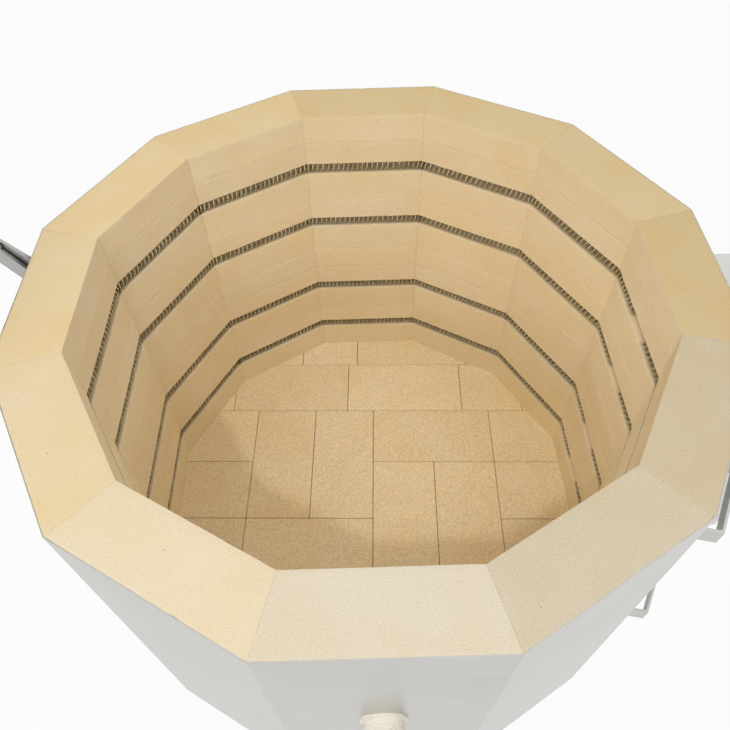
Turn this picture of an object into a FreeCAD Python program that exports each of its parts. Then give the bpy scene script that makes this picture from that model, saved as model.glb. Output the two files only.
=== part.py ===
"""Twelve-sided top-loading brick kiln for fusing glass, on its stand, with the lid standing open.

Lengths are millimetres. The origin is on the floor under the middle of the kiln. +Z is up, +X points to the
control box, -X to the lid hinge, and -Y to the side where one stands to load the kiln.
"""
import FreeCAD, Part
import math
import os
import re
import Sketcher

Vector = FreeCAD.Vector
Rotation = FreeCAD.Rotation
Placement = FreeCAD.Placement
ALONG_X = Vector(1, 0, 0)
INWARD = Vector(-1, 0, 0)
ALONG_Y = Vector(0, 1, 0)
UP = Vector(0, 0, 1)

PANELS = 12
PANEL_TURN = 360 / PANELS
QUARTERS = (0, 90, 180, 270)
# where things sit round the kiln, in degrees from +X
BOX_PANEL = 0
BACK_PANEL = 90
HINGE_PANEL = 180
FRONT_PANEL = -90
THERMOCOUPLE_PANEL = -30
HANDLE_PANELS = (-30, 150)

# name, size, what it measures
SIZES = (
    ("panel_length", 228.6, "outside length of a wall panel, one nine inch brick"),
    ("wall", 76.2, "thickness of the wall bricks"),
    ("element_course", 114.3, "height of a course that holds an element"),
    ("blank_course", 47.6, "height of the thin course on top of each ring"),
    ("slab", 63.5, "thickness of the floor and lid bricks"),
    ("brick_unit", 114.3, "width of a floor brick, half its length"),
    ("brick_joint", 0.8, "open joint between the floor bricks"),
    ("floor_shift_x", -218.4, "from the kiln's middle to the corner of the floor's pattern"),
    ("floor_shift_y", 295.5, "from the kiln's middle to the corner of the floor's pattern"),
    ("floor_turn", 2.0, "degrees that the floor's pattern is turned clockwise"),
    ("groove_height", 19, "height of an element groove"),
    ("groove_depth", 19, "depth of an element groove"),
    ("groove_rise", 66, "from the foot of a course to the middle of its groove"),
    ("coil_diameter", 18.4, "outside diameter of a heating coil"),
    ("coil_wire", 2.0, "diameter of the element wire"),
    ("coil_turns", 25, "turns drawn in each heating coil"),
    ("coil_ends", 48, "distance between the two ends of a coil"),
    ("coil_corner", 30, "radius of the coil's path in a corner of the groove"),
    ("coil_seat", 0.3, "clearance under a coil in its groove"),
    ("tail_bend", 4, "radius of the bend from a coil into its tail"),
    ("tail_grip", 10, "length of tail held by its connector"),
    ("bushing_diameter", 9, "outside diameter of an element bushing"),
    ("bushing_bore", 2.6, "bore of an element bushing"),
    ("bushing_proud", 6, "length of bushing that stands inside the control box"),
    ("drill_play", 0.15, "play round a bushing or sheath in its drilled brick"),
    ("connector_diameter", 7, "outside diameter of a connector barrel"),
    ("connector_length", 20, "length of a connector barrel"),
    ("lead_diameter", 3.2, "diameter of an insulated lead wire"),
    ("lead_loop", 24, "how far a lead stands out in front of its terminal"),
    ("jacket_gauge", 1, "thickness of the jackets and bands"),
    ("seam_gap", 4, "open seam in each jacket and band"),
    ("pan_gauge", 1.5, "thickness of the floor pan"),
    ("stand_height", 200, "height of the stand"),
    ("stand_side", 600, "outside width of the stand's square frame"),
    ("angle_size", 40, "width of the angle iron"),
    ("angle_gauge", 4, "thickness of the angle iron"),
    ("foot_plate", 60, "width of a foot plate"),
    ("foot_gauge", 5, "thickness of a foot plate"),
    ("foot_hole", 11, "diameter of the hole in a foot plate"),
    ("foot_hole_inset", 36, "from the leg's outer corner to the foot hole"),
    ("bar_spacing", 220, "distance between the two cross bars"),
    ("bar_size", 25, "width of a cross bar's tube"),
    ("bar_gauge", 2, "wall of a cross bar's tube"),
    ("bolt_diameter", 8, "diameter of the stand bolts"),
    ("bolt_play", 0.25, "play round a stand bolt"),
    ("bolt_inset", 22, "from the leg's outer corner to its bolts"),
    ("bolt_flats", 13, "width across the flats of a bolt head or nut"),
    ("bolt_head", 5.5, "height of a bolt head"),
    ("nut_height", 6.5, "height of a nut"),
    ("thread_play", 0.05, "play between a thread and its nut"),
    ("bolt_end", 2, "length of thread past the nut"),
    ("screw_diameter", 5, "diameter of the jacket and box screws"),
    ("screw_play", 0.1, "play round a screw"),
    ("screw_head", 9.5, "diameter of a screw's domed head"),
    ("screw_dome", 3, "height of a screw's domed head"),
    ("clamp_gap", 24, "distance between the lugs of a clamp"),
    ("lug_gauge", 2, "thickness of a clamp lug"),
    ("lug_foot", 16, "length of a lug's foot on the sheet"),
    ("lug_height", 15, "height of a clamp lug"),
    ("lug_width", 18, "width of a clamp lug"),
    ("small_nut", 4, "height of a clamp screw's nut"),
    ("clamp_inset", 40, "from a jacket's edge to its clamp"),
    ("strap_width", 25, "width of a handle's strap"),
    ("strap_gauge", 3, "thickness of a handle's strap"),
    ("strap_flange", 26, "length of a handle's foot"),
    ("strap_slope", 12, "how far a handle's legs lean in"),
    ("ring_handle_reach", 42, "how far a lifting handle stands out"),
    ("ring_handle_grip", 100, "length of a lifting handle's grip"),
    ("ring_handle_inset", 138, "from the top of a ring to its handles"),
    ("lid_handle_reach", 55, "how far the lid handle stands out"),
    ("lid_handle_grip", 125, "length of the lid handle's grip"),
    ("peephole_rise", 30, "from the foot of a ring to its peephole"),
    ("peephole_inside", 22, "diameter of a peephole at the chamber"),
    ("peephole_outside", 32, "diameter of a peephole at the jacket"),
    ("ferrule_bore", 36, "bore of a peephole ferrule"),
    ("ferrule_diameter", 54, "outside diameter of a peephole ferrule"),
    ("ferrule_gauge", 3, "thickness of a peephole ferrule"),
    ("plug_play", 0.5, "play round a peephole plug"),
    ("plug_recess", 2, "how far a plug's tip stays back from the chamber"),
    ("plug_head", 46, "diameter of a plug's head"),
    ("plug_head_length", 16, "length of a plug's head"),
    ("plug_edge", 3, "chamfer of a plug's head"),
    ("lid_seat", 0.3, "clearance between the rim and the closed lid"),
    ("lid_angle", 110, "degrees that the open lid is turned from closed"),
    ("band_inset", 4, "from the lid's underside to its band"),
    ("pivot_out", 44, "from the jacket to the middle of the hinge pin"),
    ("pivot_up", 18, "from the rim to the middle of the hinge pin"),
    ("pin_diameter", 10, "diameter of the hinge pin"),
    ("pin_play", 0.05, "play round the hinge pin"),
    ("pin_head", 16, "diameter of the hinge pin's head"),
    ("pin_head_length", 4, "length of the hinge pin's head"),
    ("pin_end", 9, "how far the hinge pin stands out past the ears"),
    ("cotter_diameter", 2.4, "diameter of the hinge pin's cotter"),
    ("hinge_plate", 3, "thickness of the hinge's plates"),
    ("hinge_ear", 5, "thickness of the hinge's ears"),
    ("hinge_boss", 14, "radius of an ear round the pin"),
    ("leaf_span", 126, "distance over the lid leaf's ears"),
    ("bracket_span", 140, "distance over the bracket's ears"),
    ("leaf_width", 156, "width of the lid leaf's plate"),
    ("bracket_width", 184, "width of the bracket's plate"),
    ("bracket_top", 12, "from the rim down to the bracket's plate"),
    ("bracket_height", 118, "height of the bracket's plate"),
    ("bracket_arm", 60, "height of the bracket's ears on the plate"),
    ("leaf_low", 5, "from the lid's underside to its leaf"),
    ("leaf_height", 54, "height of the lid leaf's plate"),
    ("leaf_arm", 36, "height of the leaf's ears on the plate"),
    ("plate_screw_inset", 9, "from the edges of the hinge's plates to their screws"),
    ("heel_radius", 10, "radius of the leaf's stop heel"),
    ("heel_angle", 60, "degrees that the heel hangs below level when the lid is open"),
    ("heel_gap", 0.4, "gap between the stop heel and the bracket"),
    ("box_gap", 25, "air gap between the jacket and the control box"),
    ("box_width", 200, "width of the control box"),
    ("box_depth", 130, "depth of the control box"),
    ("box_below", 33, "from the lowest element to the box's underside"),
    ("box_above", 27, "from the highest element to the box's top"),
    ("box_gauge", 1.5, "thickness of the box's sheet"),
    ("box_flange", 18, "depth of the back plate's side flanges"),
    ("lead_hole", 13, "diameter of the back plate's holes for the bushings"),
    ("standoff_diameter", 12, "outside diameter of a box standoff"),
    ("standoff_span", 150, "distance between the box standoffs"),
    ("standoff_inset", 24, "from the box's ends to its standoffs"),
    ("vent_length", 60, "length of a vent slot in the box's side"),
    ("vent_height", 5, "height of a vent slot"),
    ("vent_pitch", 14, "distance from one vent slot to the next"),
    ("vent_inset", 45, "from the box's ends to its first vent slot"),
    ("cover_screw_inset", 110, "from the box's ends to the screws in its sides"),
    ("face_width", 112, "width of the controller's face"),
    ("face_height", 150, "height of the controller's face"),
    ("face_gauge", 2, "thickness of the controller's face"),
    ("face_screw_diameter", 3, "diameter of the screws in the controller's face"),
    ("face_drop", 100, "from the box's top to the middle of the controller"),
    ("face_lap", 8, "how far the face laps over its cut-out"),
    ("display_width", 74, "width of the display opening"),
    ("display_height", 30, "height of the display opening"),
    ("display_rise", 34, "from the middle of the face to the display"),
    ("display_gauge", 2, "thickness of the display window"),
    ("display_lap", 3, "how far the window laps behind the face"),
    ("key_diameter", 13, "diameter of a key"),
    ("key_play", 0.35, "play round a key"),
    ("key_lip", 2, "width and thickness of a key's inner lip"),
    ("key_proud", 2.4, "how far a key stands out of the face"),
    ("key_travel", 1.5, "travel of a key"),
    ("key_pitch", 32, "distance from one key to the next"),
    ("key_drop", 34, "from the middle of the face down to the keys"),
    ("key_stop", 0.3, "gap left between a pressed key and its contact"),
    ("board_depth", 9, "from the box's front to the circuit board"),
    ("board_gauge", 1.6, "thickness of the circuit board"),
    ("board_inset", 5, "from the cut-out's edge to the circuit board"),
    ("post_diameter", 7, "diameter of the posts that carry the board"),
    ("post_inset", 5, "from the circuit board's edges to its posts"),
    ("switch_drop", 235, "from the box's top to the middle of the power switch"),
    ("switch_width", 20, "width of the switch's cut-out"),
    ("switch_height", 31, "height of the switch's cut-out"),
    ("switch_fit", 0.2, "play round the switch in its cut-out"),
    ("switch_bezel", 3, "how far the switch's bezel laps over the box"),
    ("switch_face", 2, "thickness of the switch's bezel"),
    ("switch_depth", 22, "depth of the switch's body"),
    ("rocker_width", 12, "width of the rocker"),
    ("rocker_half", 11.5, "half the height of the rocker"),
    ("rocker_front", 6, "from the rocker's pin to its ends' faces"),
    ("rocker_dip", 3.6, "from the rocker's pin to the hollow of its face"),
    ("rocker_back", 6, "from the rocker's pin to its back"),
    ("rocker_play", 0.5, "play round the rocker"),
    ("rocker_tilt", 10, "degrees that the rocker leans to each side"),
    ("rocker_sink", 2.5, "from the box's front in to the rocker's pin"),
    ("rocker_pin", 3, "diameter of the rocker's pin"),
    ("rocker_pin_length", 1.6, "length of the rocker's pin on each side"),
    ("blade_length", 8, "length of a blade on the back of the switch"),
    ("blade_width", 6.3, "width of a blade"),
    ("blade_gauge", 0.8, "thickness of a blade"),
    ("blade_spread", 14, "distance between the two blades"),
    ("relay_width", 32, "width of a relay"),
    ("relay_height", 52, "height of a relay"),
    ("relay_depth", 34, "depth of a relay"),
    ("block_width", 26, "width of a terminal block"),
    ("block_depth", 24, "depth of a terminal block"),
    ("terminal_side", 68, "from the box's middle to its relays and blocks"),
    ("terminal_pitch", 30, "distance between the two terminals of a relay or block"),
    ("terminal_diameter", 7, "diameter of a terminal"),
    ("terminal_proud", 4, "how far a terminal stands out"),
    ("gland_bore", 12, "bore of the cord gland"),
    ("gland_thread", 20, "diameter of the gland's thread"),
    ("gland_flats", 24, "width across the flats of the gland"),
    ("gland_hex", 8, "height of the gland's hexagon"),
    ("gland_dome", 13, "height of the gland's dome"),
    ("gland_nut", 5, "height of the gland's nut"),
    ("gland_lip", 2, "wall of the gland at its mouth"),
    ("gland_inset", 62, "from the box's back to the gland"),
    ("gland_side", 55, "from the box's middle to the gland"),
    ("sheath_diameter", 8, "diameter of the thermocouple's sheath"),
    ("sheath_reach", 25, "how far the thermocouple reaches into the chamber"),
    ("sheath_rise", 207, "from the chamber floor to the thermocouple"),
    ("sheath_head", 18, "depth of the thermocouple's head"),
    ("sheath_head_width", 30, "width and height of the thermocouple's head"),
    ("probe_lead_diameter", 4, "diameter of the thermocouple's lead"),
    ("probe_lead_inset", 40, "from the box's back to where that lead goes in"),
    ("probe_lead_play", 0.3, "play round that lead"),
)

# places that follow from the sizes, in the sheet's own terms
DERIVED = {
    "outer": "panel_length / (2 * tan(15))",
    "inner": "outer - wall",
    "skin": "outer + jacket_gauge",
    "floor_foot": "stand_height + pan_gauge",
    "floor_top": "floor_foot + slab",
    "ring_height": "2 * element_course + blank_course",
    "middle": "floor_top + ring_height",
    "rim": "middle + ring_height",
    "lid_foot": "rim + lid_seat",
    "lid_top": "lid_foot + slab",
    "groove_radius": "groove_height / 2",
    "coil_line": "inner + groove_depth - groove_radius",
    "coil_radius": "(coil_diameter - coil_wire) / 2",
    "coil_drop": "groove_radius - coil_diameter / 2 - coil_seat",
    "tail_line": "coil_ends / 2 - tail_bend",
    "tail_start": "coil_line + coil_radius + tail_bend",
    "bushing_start": "tail_start + coil_wire / 2",
    "bushing_end": "box_back + box_gauge + bushing_proud",
    "connector_start": "bushing_end + tail_grip / 4",
    "connector_end": "connector_start + connector_length",
    "leg_corner": "stand_side / 2 - angle_gauge",
    "pivot_x": "-(skin + pivot_out)",
    "pivot_z": "rim + pivot_up",
    "hinge_face": "skin + hinge_plate",
    "heel_length": "(pivot_out - hinge_plate - heel_gap - heel_radius) / cos(heel_angle)",
    "heel_turn": "180 - lid_angle - heel_angle",
    "box_back": "skin + box_gap",
    "box_front": "box_back + box_depth",
    "box_low": "floor_top + groove_rise - box_below",
    "box_high": "middle + element_course + groove_rise + box_above",
    "box_side": "box_width / 2",
    "face_middle": "box_high - face_drop",
    "switch_middle": "box_high - switch_drop",
    "key_line": "face_middle - key_drop",
    "rocker_line": "box_front - rocker_sink",
}

# heights of the element grooves and of what sits half way between two of them
ROWS = (
    "floor_top + groove_rise",
    "floor_top + element_course + groove_rise",
    "middle + groove_rise",
    "middle + element_course + groove_rise",
)
RINGS = ("floor_top", "middle")
BETWEEN_ROWS = "groove_rise + element_course / 2"
LID_BAND_MIDDLE = "(lid_foot + band_inset + lid_top) / 2"
PROBE_HEIGHT = "(floor_top + sheath_rise)"
PEEPHOLE_SLOPE = "(peephole_outside - peephole_inside) / (2 * wall)"

# radii of round holes
SCREW_HOLE = "screw_diameter / 2 + screw_play"
BUSHING_HOLE = "bushing_diameter / 2 + drill_play"
SHEATH_HOLE = "sheath_diameter / 2 + drill_play"
FACE_SCREW_HOLE = "face_screw_diameter / 2 + screw_play"
PIN_HOLE = "pin_diameter / 2 + pin_play"

# places in the control box
COVER_SCREW_X = "box_back + box_flange / 2"
COVER_SCREW_HEIGHTS = ("box_low + cover_screw_inset", "box_high - cover_screw_inset")
GLAND_X = "box_back + gland_inset"
PROBE_LEAD_X = "box_back + probe_lead_inset"
KEYS = (("key_up", "-key_pitch"), ("key_down", "0"), ("key_enter", "key_pitch"))
VENTS = 4

doc = FreeCAD.newDocument("glass_kiln")
sizes = doc.addObject("Spreadsheet::Sheet", "sizes")
for row, (alias, size, meaning) in enumerate(SIZES, start=1):
    sizes.set(f"A{row}", meaning)
    sizes.set(f"B{row}", str(size))
    sizes.setAlias(f"B{row}", alias)
doc.recompute()
ALIASES = {alias for alias, size, meaning in SIZES}
nodes = []


def full(text):
    """An expression over the sheet, from text that names sizes and derived places."""
    def spelled(match):
        word = match.group(0)
        if word in DERIVED:
            return f"({full(DERIVED[word])})"
        return f"sizes.{word}" if word in ALIASES else word
    return re.sub(r"[a-z][a-z_]*", spelled, str(text))


def value(text):
    return float(sizes.evalExpression(full(text)))


def bind(thing, name, text):
    thing.setExpression(name, full(text))


def node(thing):
    """Keep a finished sub-part for export under its own name."""
    thing.Label = thing.Name
    nodes.append(thing)
    return thing


def both(text):
    """The same distance to either side of the middle."""
    return text, f"-({text})"


def centred(text):
    """From a distance on one side of the middle to the same distance on the other."""
    return f"-({text})", text


def turned(degrees):
    return Placement(Vector(), Rotation(UP, degrees))


def aimed(x, y, z, way):
    """The placement of a screw whose head sits at a point and whose shank goes one way."""
    return Placement(Vector(x, y, z), Rotation(UP, way))


def lid_opening():
    """The placement that swings a piece of the closed lid to where the open lid stands."""
    pivot = Vector(value("pivot_x"), 0, value("pivot_z"))
    return Placement(Vector(), Rotation(ALONG_Y, -value("lid_angle")), pivot)


def put(thing, x, y, z, panel=0, tilt=None):
    """Place a thing at x, y, z in front of the panel on +X, then carry it round to its own panel."""
    spin = Rotation(UP, panel)
    thing.Placement = Placement(Vector(), spin.multiply(tilt) if tilt else spin)
    bind(thing, "Placement.Base.x", f"({x}) * cos({panel}) - ({y}) * sin({panel})")
    bind(thing, "Placement.Base.y", f"({x}) * sin({panel}) + ({y}) * cos({panel})")
    bind(thing, "Placement.Base.z", z)
    return thing


def box(name, x, y, z, panel=0):
    """A block between two places on each axis."""
    block = doc.addObject("Part::Box", name)
    for side, (low, high) in zip(("Length", "Width", "Height"), (x, y, z)):
        bind(block, side, f"({high}) - ({low})")
    return put(block, x[0], y[0], z[0], panel)


def rod(name, start, length, radius, way=UP, panel=0, radius_end=None):
    """A cylinder, or a cone where an end radius is given, from a start along one axis."""
    kind = "Part::Cone" if radius_end else "Part::Cylinder"
    round_bar = doc.addObject(kind, name)
    bind(round_bar, "Radius1" if radius_end else "Radius", radius)
    if radius_end:
        bind(round_bar, "Radius2", radius_end)
    bind(round_bar, "Height", length)
    return put(round_bar, *start, panel=panel, tilt=Rotation(UP, way))


def polygon_bar(name, sides, apothem, low, high, turn=0.0):
    """An upright bar with a regular outline, given by the distance to its flats."""
    bar = doc.addObject("Part::Prism", name)
    bar.Polygon = sides
    bind(bar, "Circumradius", f"({apothem}) / cos({180 / sides})")
    bind(bar, "Height", f"({high}) - ({low})")
    bar.Placement = turned(turn)
    bind(bar, "Placement.Base.z", low)
    return bar


def panel_bar(name, apothem, low, high):
    """A twelve-sided bar with a flat facing +X."""
    return polygon_bar(name, PANELS, apothem, low, high, PANEL_TURN / 2)


def fuse(name, pieces):
    joined = doc.addObject("Part::MultiFuse", name)
    joined.Shapes = pieces
    joined.Refine = True
    return joined


def cut(name, base, tools):
    """A piece with one or more tools taken away."""
    taken = tools[0]
    if len(tools) > 1:
        taken = doc.addObject("Part::Compound", f"{name}_tools")
        taken.Links = tools
    result = doc.addObject("Part::Cut", name)
    result.Base = base
    result.Tool = taken
    return result


def copies(name, placed):
    """A node of identical or matching solids: shapes and the placement of each."""
    doc.recompute()
    solids = []
    for shape, placement in placed:
        solid = shape.copy()
        solid.Placement = placement.multiply(shape.Placement)
        solids.append(solid)
    group = doc.addObject("Part::Feature", name)
    group.Shape = Part.makeCompound(solids)
    return node(group)


def plane(body, role):
    return next(part for part in body.Origin.OriginFeatures if part.Role == role)


def sketch_on(body, role, name, offset="0"):
    """A sketch on one of the body's own planes, lifted off it by an offset."""
    sketch = body.newObject("Sketcher::SketchObject", name)
    sketch.AttachmentSupport = [(plane(body, role), "")]
    sketch.MapMode = "FlatFace"
    bind(sketch, "AttachmentOffset.Base.z", offset)
    return sketch


def pin_down(sketch, item, point, x, y):
    """Fix one point of a sketch at x, y from the origin by bound distances."""
    axes = (("DistanceX", x, -2), ("DistanceY", y, -1))
    for kind, text, axis in axes:
        distance = value(text)
        if abs(distance) < 1e-9:
            sketch.addConstraint(Sketcher.Constraint("PointOnObject", item, point, axis))
        else:
            rule = Sketcher.Constraint(kind, -1, 1, item, point, distance)
            bind(sketch, f"Constraints[{sketch.addConstraint(rule)}]", text)


def outline(sketch, corners):
    """A closed outline of straight lines through the given corners."""
    places = [Vector(value(x), value(y), 0) for x, y in corners]
    count = len(places)
    first = sketch.GeometryCount
    for index, place in enumerate(places):
        sketch.addGeometry(Part.LineSegment(place, places[(index + 1) % count]))
    for index in range(count):
        following = first + (index + 1) % count
        sketch.addConstraint(Sketcher.Constraint("Coincident", first + index, 2, following, 1))
    for index, (x, y) in enumerate(corners):
        pin_down(sketch, first + index, 1, x, y)
    return sketch


def ring(sketch, x, y, radius):
    """A circle with its middle and radius bound."""
    middle = Vector(value(x), value(y), 0)
    item = sketch.addGeometry(Part.Circle(middle, UP, value(radius)))
    pin_down(sketch, item, 3, x, y)
    rule = Sketcher.Constraint("Radius", item, value(radius))
    bind(sketch, f"Constraints[{sketch.addConstraint(rule)}]", radius)
    return sketch


def rectangle(sketch, x, y):
    corners = ((x[0], y[0]), (x[1], y[0]), (x[1], y[1]), (x[0], y[1]))
    return outline(sketch, corners)


def pad(body, sketch, length, midplane=False):
    feature = body.newObject("PartDesign::Pad", f"{sketch.Name}_pad")
    feature.Profile = sketch
    feature.Midplane = midplane
    bind(feature, "Length", length)
    body.Tip = feature
    return feature


def pocket(body, sketch, length=None):
    """Cut a sketch out of the body, right through on both sides or over a middle length."""
    feature = body.newObject("PartDesign::Pocket", f"{sketch.Name}_pocket")
    feature.Profile = sketch
    feature.Midplane = True
    if length:
        bind(feature, "Length", length)
    else:
        feature.Type = 1
    body.Tip = feature
    return feature


def make_screw(name, diameter, length, head, head_height, sides=0):
    """A screw with its head's seat at the origin and its shank along +Z."""
    shank = rod(f"{name}_shank", ("0", "0", "0"), length, f"({diameter}) / 2")
    if sides:
        top = polygon_bar(f"{name}_head", sides, f"({head}) / 2", f"-({head_height})", "0")
        return fuse(name, [top, shank])
    body = doc.addObject("PartDesign::Body", f"{name}_head")
    profile = sketch_on(body, "XZ_Plane", f"{name}_dome")
    rise = f"-({head_height})"
    outline(profile, (
        ("0", "0"), (f"({head}) / 2", "0"), (f"({head}) / 2", f"{rise} * 0.3"),
        (f"({head}) * 0.4", f"{rise} * 0.72"), (f"({head}) * 0.22", f"{rise} * 0.95"), ("0", rise),
    ))
    turn = body.newObject("PartDesign::Revolution", f"{name}_turn")
    turn.Profile = profile
    turn.ReferenceAxis = (profile, ["V_Axis"])
    body.Tip = turn
    return fuse(name, [body, shank])


def biarc(start, start_way, end, end_way):
    """Two arcs that leave the start one way, meet smoothly and reach the end another way."""
    reach = end - start
    both = start_way + end_way
    spread = 2 * (1 - start_way.dot(end_way))
    along = reach.dot(both)
    if spread < 1e-9:
        arm = reach.Length ** 2 / (2 * along)
    else:
        arm = (math.sqrt(along ** 2 + spread * reach.Length ** 2) - along) / spread
    joint = (start + end + (start_way - end_way) * arm) * 0.5
    return [arc_from(start, start_way, joint), arc_from(end, end_way * -1, joint)]


def arc_from(start, way, end):
    """The edge that leaves the start one way and ends at the end: an arc, or a line if it is straight."""
    chord = end - start
    across = chord - way * chord.dot(way)
    if across.Length < 1e-7 * chord.Length:
        return Part.LineSegment(start, end).toShape()
    across.normalize()
    radius = chord.Length ** 2 / (2 * chord.dot(across))
    centre = start + across * radius
    bulge = (start + end) * 0.5 - centre
    bulge.normalize()
    return Part.Arc(start, centre + bulge * radius, end).toShape()


def bent_route(points):
    """Straight runs between points, joined by arcs as large as the runs allow, and the arcs' radii."""
    edges = []
    radii = []
    here = points[0]
    for before, corner, after in zip(points, points[1:], points[2:]):
        arriving = corner - before
        leaving = after - corner
        trim = 0.45 * min(arriving.Length, leaving.Length)
        arriving.normalize()
        leaving.normalize()
        half_turn = arriving.getAngle(leaving) / 2
        radius = trim / math.tan(half_turn)
        inward = leaving - arriving
        inward.normalize()
        enter = corner - arriving * trim
        leave = corner + leaving * trim
        middle = corner + inward * (radius / math.cos(half_turn) - radius)
        edges.append(Part.LineSegment(here, enter).toShape())
        edges.append(Part.Arc(enter, middle, leave).toShape())
        radii.append(round(radius, 1))
        here = leave
    edges.append(Part.LineSegment(here, points[-1]).toShape())
    return edges, radii


def tube_along(edges, radius):
    """A round bar along edges that follow each other smoothly."""
    path = Part.Wire(edges)
    start = edges[0].Vertexes[0].Point
    way = edges[0].tangentAt(edges[0].FirstParameter)
    section = Part.Wire([Part.makeCircle(radius, start, way)])
    return path.makePipeShell([section], True, False)


def panel_band(name, low, high, holes=()):
    """A sheet-metal band round the bricks, open at its seam at the back."""
    skin_bar = panel_bar(f"{name}_skin", "skin", low, high)
    core = panel_bar(f"{name}_core", "outer", f"{low} - 5", f"{high} + 5")
    half_seam = "seam_gap / 2"
    seam = box(f"{name}_seam", ("outer - 5", "skin + 5"), (f"-{half_seam}", half_seam),
               (f"{low} - 5", f"{high} + 5"), BACK_PANEL)
    return cut(name, cut(f"{name}_shell", skin_bar, [core]), [seam, *holes])


def hole_x(name, y, z, radius, panel=0, low="outer - 5", high="skin + 5"):
    """A round tool that goes straight out through a panel."""
    return rod(name, (low, y, z), f"({high}) - ({low})", radius, ALONG_X, panel)


# stand

def make_stand():
    rail = doc.addObject("PartDesign::Body", "stand_rail")
    half = "stand_side / 2"
    web = sketch_on(rail, "XY_Plane", "rail_web", "stand_height - angle_size")
    outline(web, ((f"-{half}", f"-{half}"), (half, f"-{half}"), ("leg_corner", "-leg_corner"),
                  ("-leg_corner", "-leg_corner")))
    pad(rail, web, "angle_size")
    lip = sketch_on(rail, "XY_Plane", "rail_lip", "stand_height - angle_gauge")
    inside = f"({half} - angle_size)"
    outline(lip, ((f"-{half}", f"-{half}"), (half, f"-{half}"), (inside, f"-{inside}"),
                  (f"-{inside}", f"-{inside}")))
    pad(rail, lip, "angle_gauge")
    bolt_radius = "bolt_diameter / 2 + bolt_play"
    bolt_line = "stand_height - angle_size / 2"
    bolt_side = "leg_corner - bolt_inset"
    drill = sketch_on(rail, "XZ_Plane", "rail_holes")
    ring(drill, bolt_side, bolt_line, bolt_radius)
    ring(drill, f"-({bolt_side})", bolt_line, bolt_radius)
    pocket(rail, drill)

    leg = doc.addObject("PartDesign::Body", "stand_leg")
    corner = "-leg_corner"
    web_edge = f"{corner} + angle_gauge"
    far_edge = f"{corner} + angle_size"
    profile = sketch_on(leg, "XY_Plane", "leg_angle")
    outline(profile, ((corner, corner), (far_edge, corner), (far_edge, web_edge), (web_edge, web_edge),
                      (web_edge, far_edge), (corner, far_edge)))
    pad(leg, profile, "stand_height - angle_gauge")
    plate = sketch_on(leg, "XY_Plane", "leg_plate")
    rectangle(plate, (corner, f"{corner} + foot_plate"), (corner, f"{corner} + foot_plate"))
    pad(leg, plate, "foot_gauge")
    foot = sketch_on(leg, "XY_Plane", "leg_foot_hole")
    ring(foot, f"{corner} + foot_hole_inset", f"{corner} + foot_hole_inset", "foot_hole / 2")
    pocket(leg, foot)
    for role, name in (("XZ_Plane", "leg_front_hole"), ("YZ_Plane", "leg_side_hole")):
        bolt_hole = sketch_on(leg, role, name)
        ring(bolt_hole, f"{corner} + bolt_inset", bolt_line, bolt_radius)
        pocket(leg, bolt_hole)

    grip = "2 * angle_gauge"
    bolt = make_screw("stand_bolt", "bolt_diameter", f"{grip} + nut_height + bolt_end", "bolt_flats",
                      "bolt_head", 6)
    nut_blank = polygon_bar("stand_nut_blank", 6, "bolt_flats / 2", "0", "nut_height")
    nut_bore = rod("stand_nut_bore", ("0", "0", "-1"), "nut_height + 2", "bolt_diameter / 2 + thread_play")
    nut = cut("stand_nut", nut_blank, [nut_bore])
    doc.recompute()
    copies("stand_frame", [(rail.Shape, turned(turn)) for turn in QUARTERS])
    copies("stand_legs", [(leg.Shape, turned(turn)) for turn in QUARTERS])
    side = value(bolt_side)
    edge = value(half)
    height = value(bolt_line)
    seats = [(turn, spot) for turn in QUARTERS
             for spot in (aimed(side, -edge, height, ALONG_Y), aimed(-side, -edge, height, ALONG_Y))]
    copies("stand_bolts", [(bolt.Shape, turned(turn).multiply(spot)) for turn, spot in seats])
    inward = Placement(Vector(0, 0, value(grip)), Rotation())
    copies("stand_nuts", [(nut.Shape, turned(turn).multiply(spot).multiply(inward)) for turn, spot in seats])

    under = "stand_height - angle_gauge"
    wide = "bar_size / 2"
    tube = box("bar_tube", centred("leg_corner"), centred(wide), (f"{under} - bar_size", under))
    bore = box("bar_bore", centred("leg_corner + 1"), centred(f"{wide} - bar_gauge"),
               (f"{under} - bar_size + bar_gauge", f"{under} - bar_gauge"))
    flat = box("bar_flat", centred(inside), centred("angle_size / 2"), (under, "stand_height"))
    bar = fuse("cross_bar", [cut("bar_hollow", tube, [bore]), flat])
    doc.recompute()
    apart = value("bar_spacing / 2")
    spots = [Placement(Vector(0, y, 0), Rotation()) for y in (-apart, apart)]
    copies("stand_cross_bars", [(bar.Shape, spot) for spot in spots])


# slabs of loose bricks

def slab_bricks(name, cells, low, high, origin, turn, opening=None):
    """A twelve-sided slab cut from bricks: each cell gives a brick's left, top, right and bottom."""
    unit = value("brick_unit")
    joint = value("brick_joint")
    bottom = value(low)
    height = value(high) - bottom
    disc = panel_bar(f"{name}_disc", "outer", low, high)
    doc.recompute()
    bricks = []
    for left, top, right, foot in cells:
        block = Part.makeBox((right - left) * unit - joint, (foot - top) * unit - joint, height,
                             Vector(left * unit + joint / 2, -foot * unit + joint / 2, bottom))
        block.Placement = Placement(origin, Rotation(UP, turn)).multiply(block.Placement)
        bricks += disc.Shape.common(block).Solids
    group = doc.addObject("Part::Feature", name)
    group.Shape = Part.makeCompound(bricks)
    if opening:
        group.Placement = opening
    return node(group)


# the floor's short and upright bricks, in brick widths from the pattern's corner: left, top, right, bottom
FLOOR_CELLS = ((0.7, -1.4, 1.7, 0), (3.55, 0, 4.6, 1),
               (0, 1, 1, 3), (1, 1, 2, 3), (2, 2, 3, 4), (3, 2, 4, 4))
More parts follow.
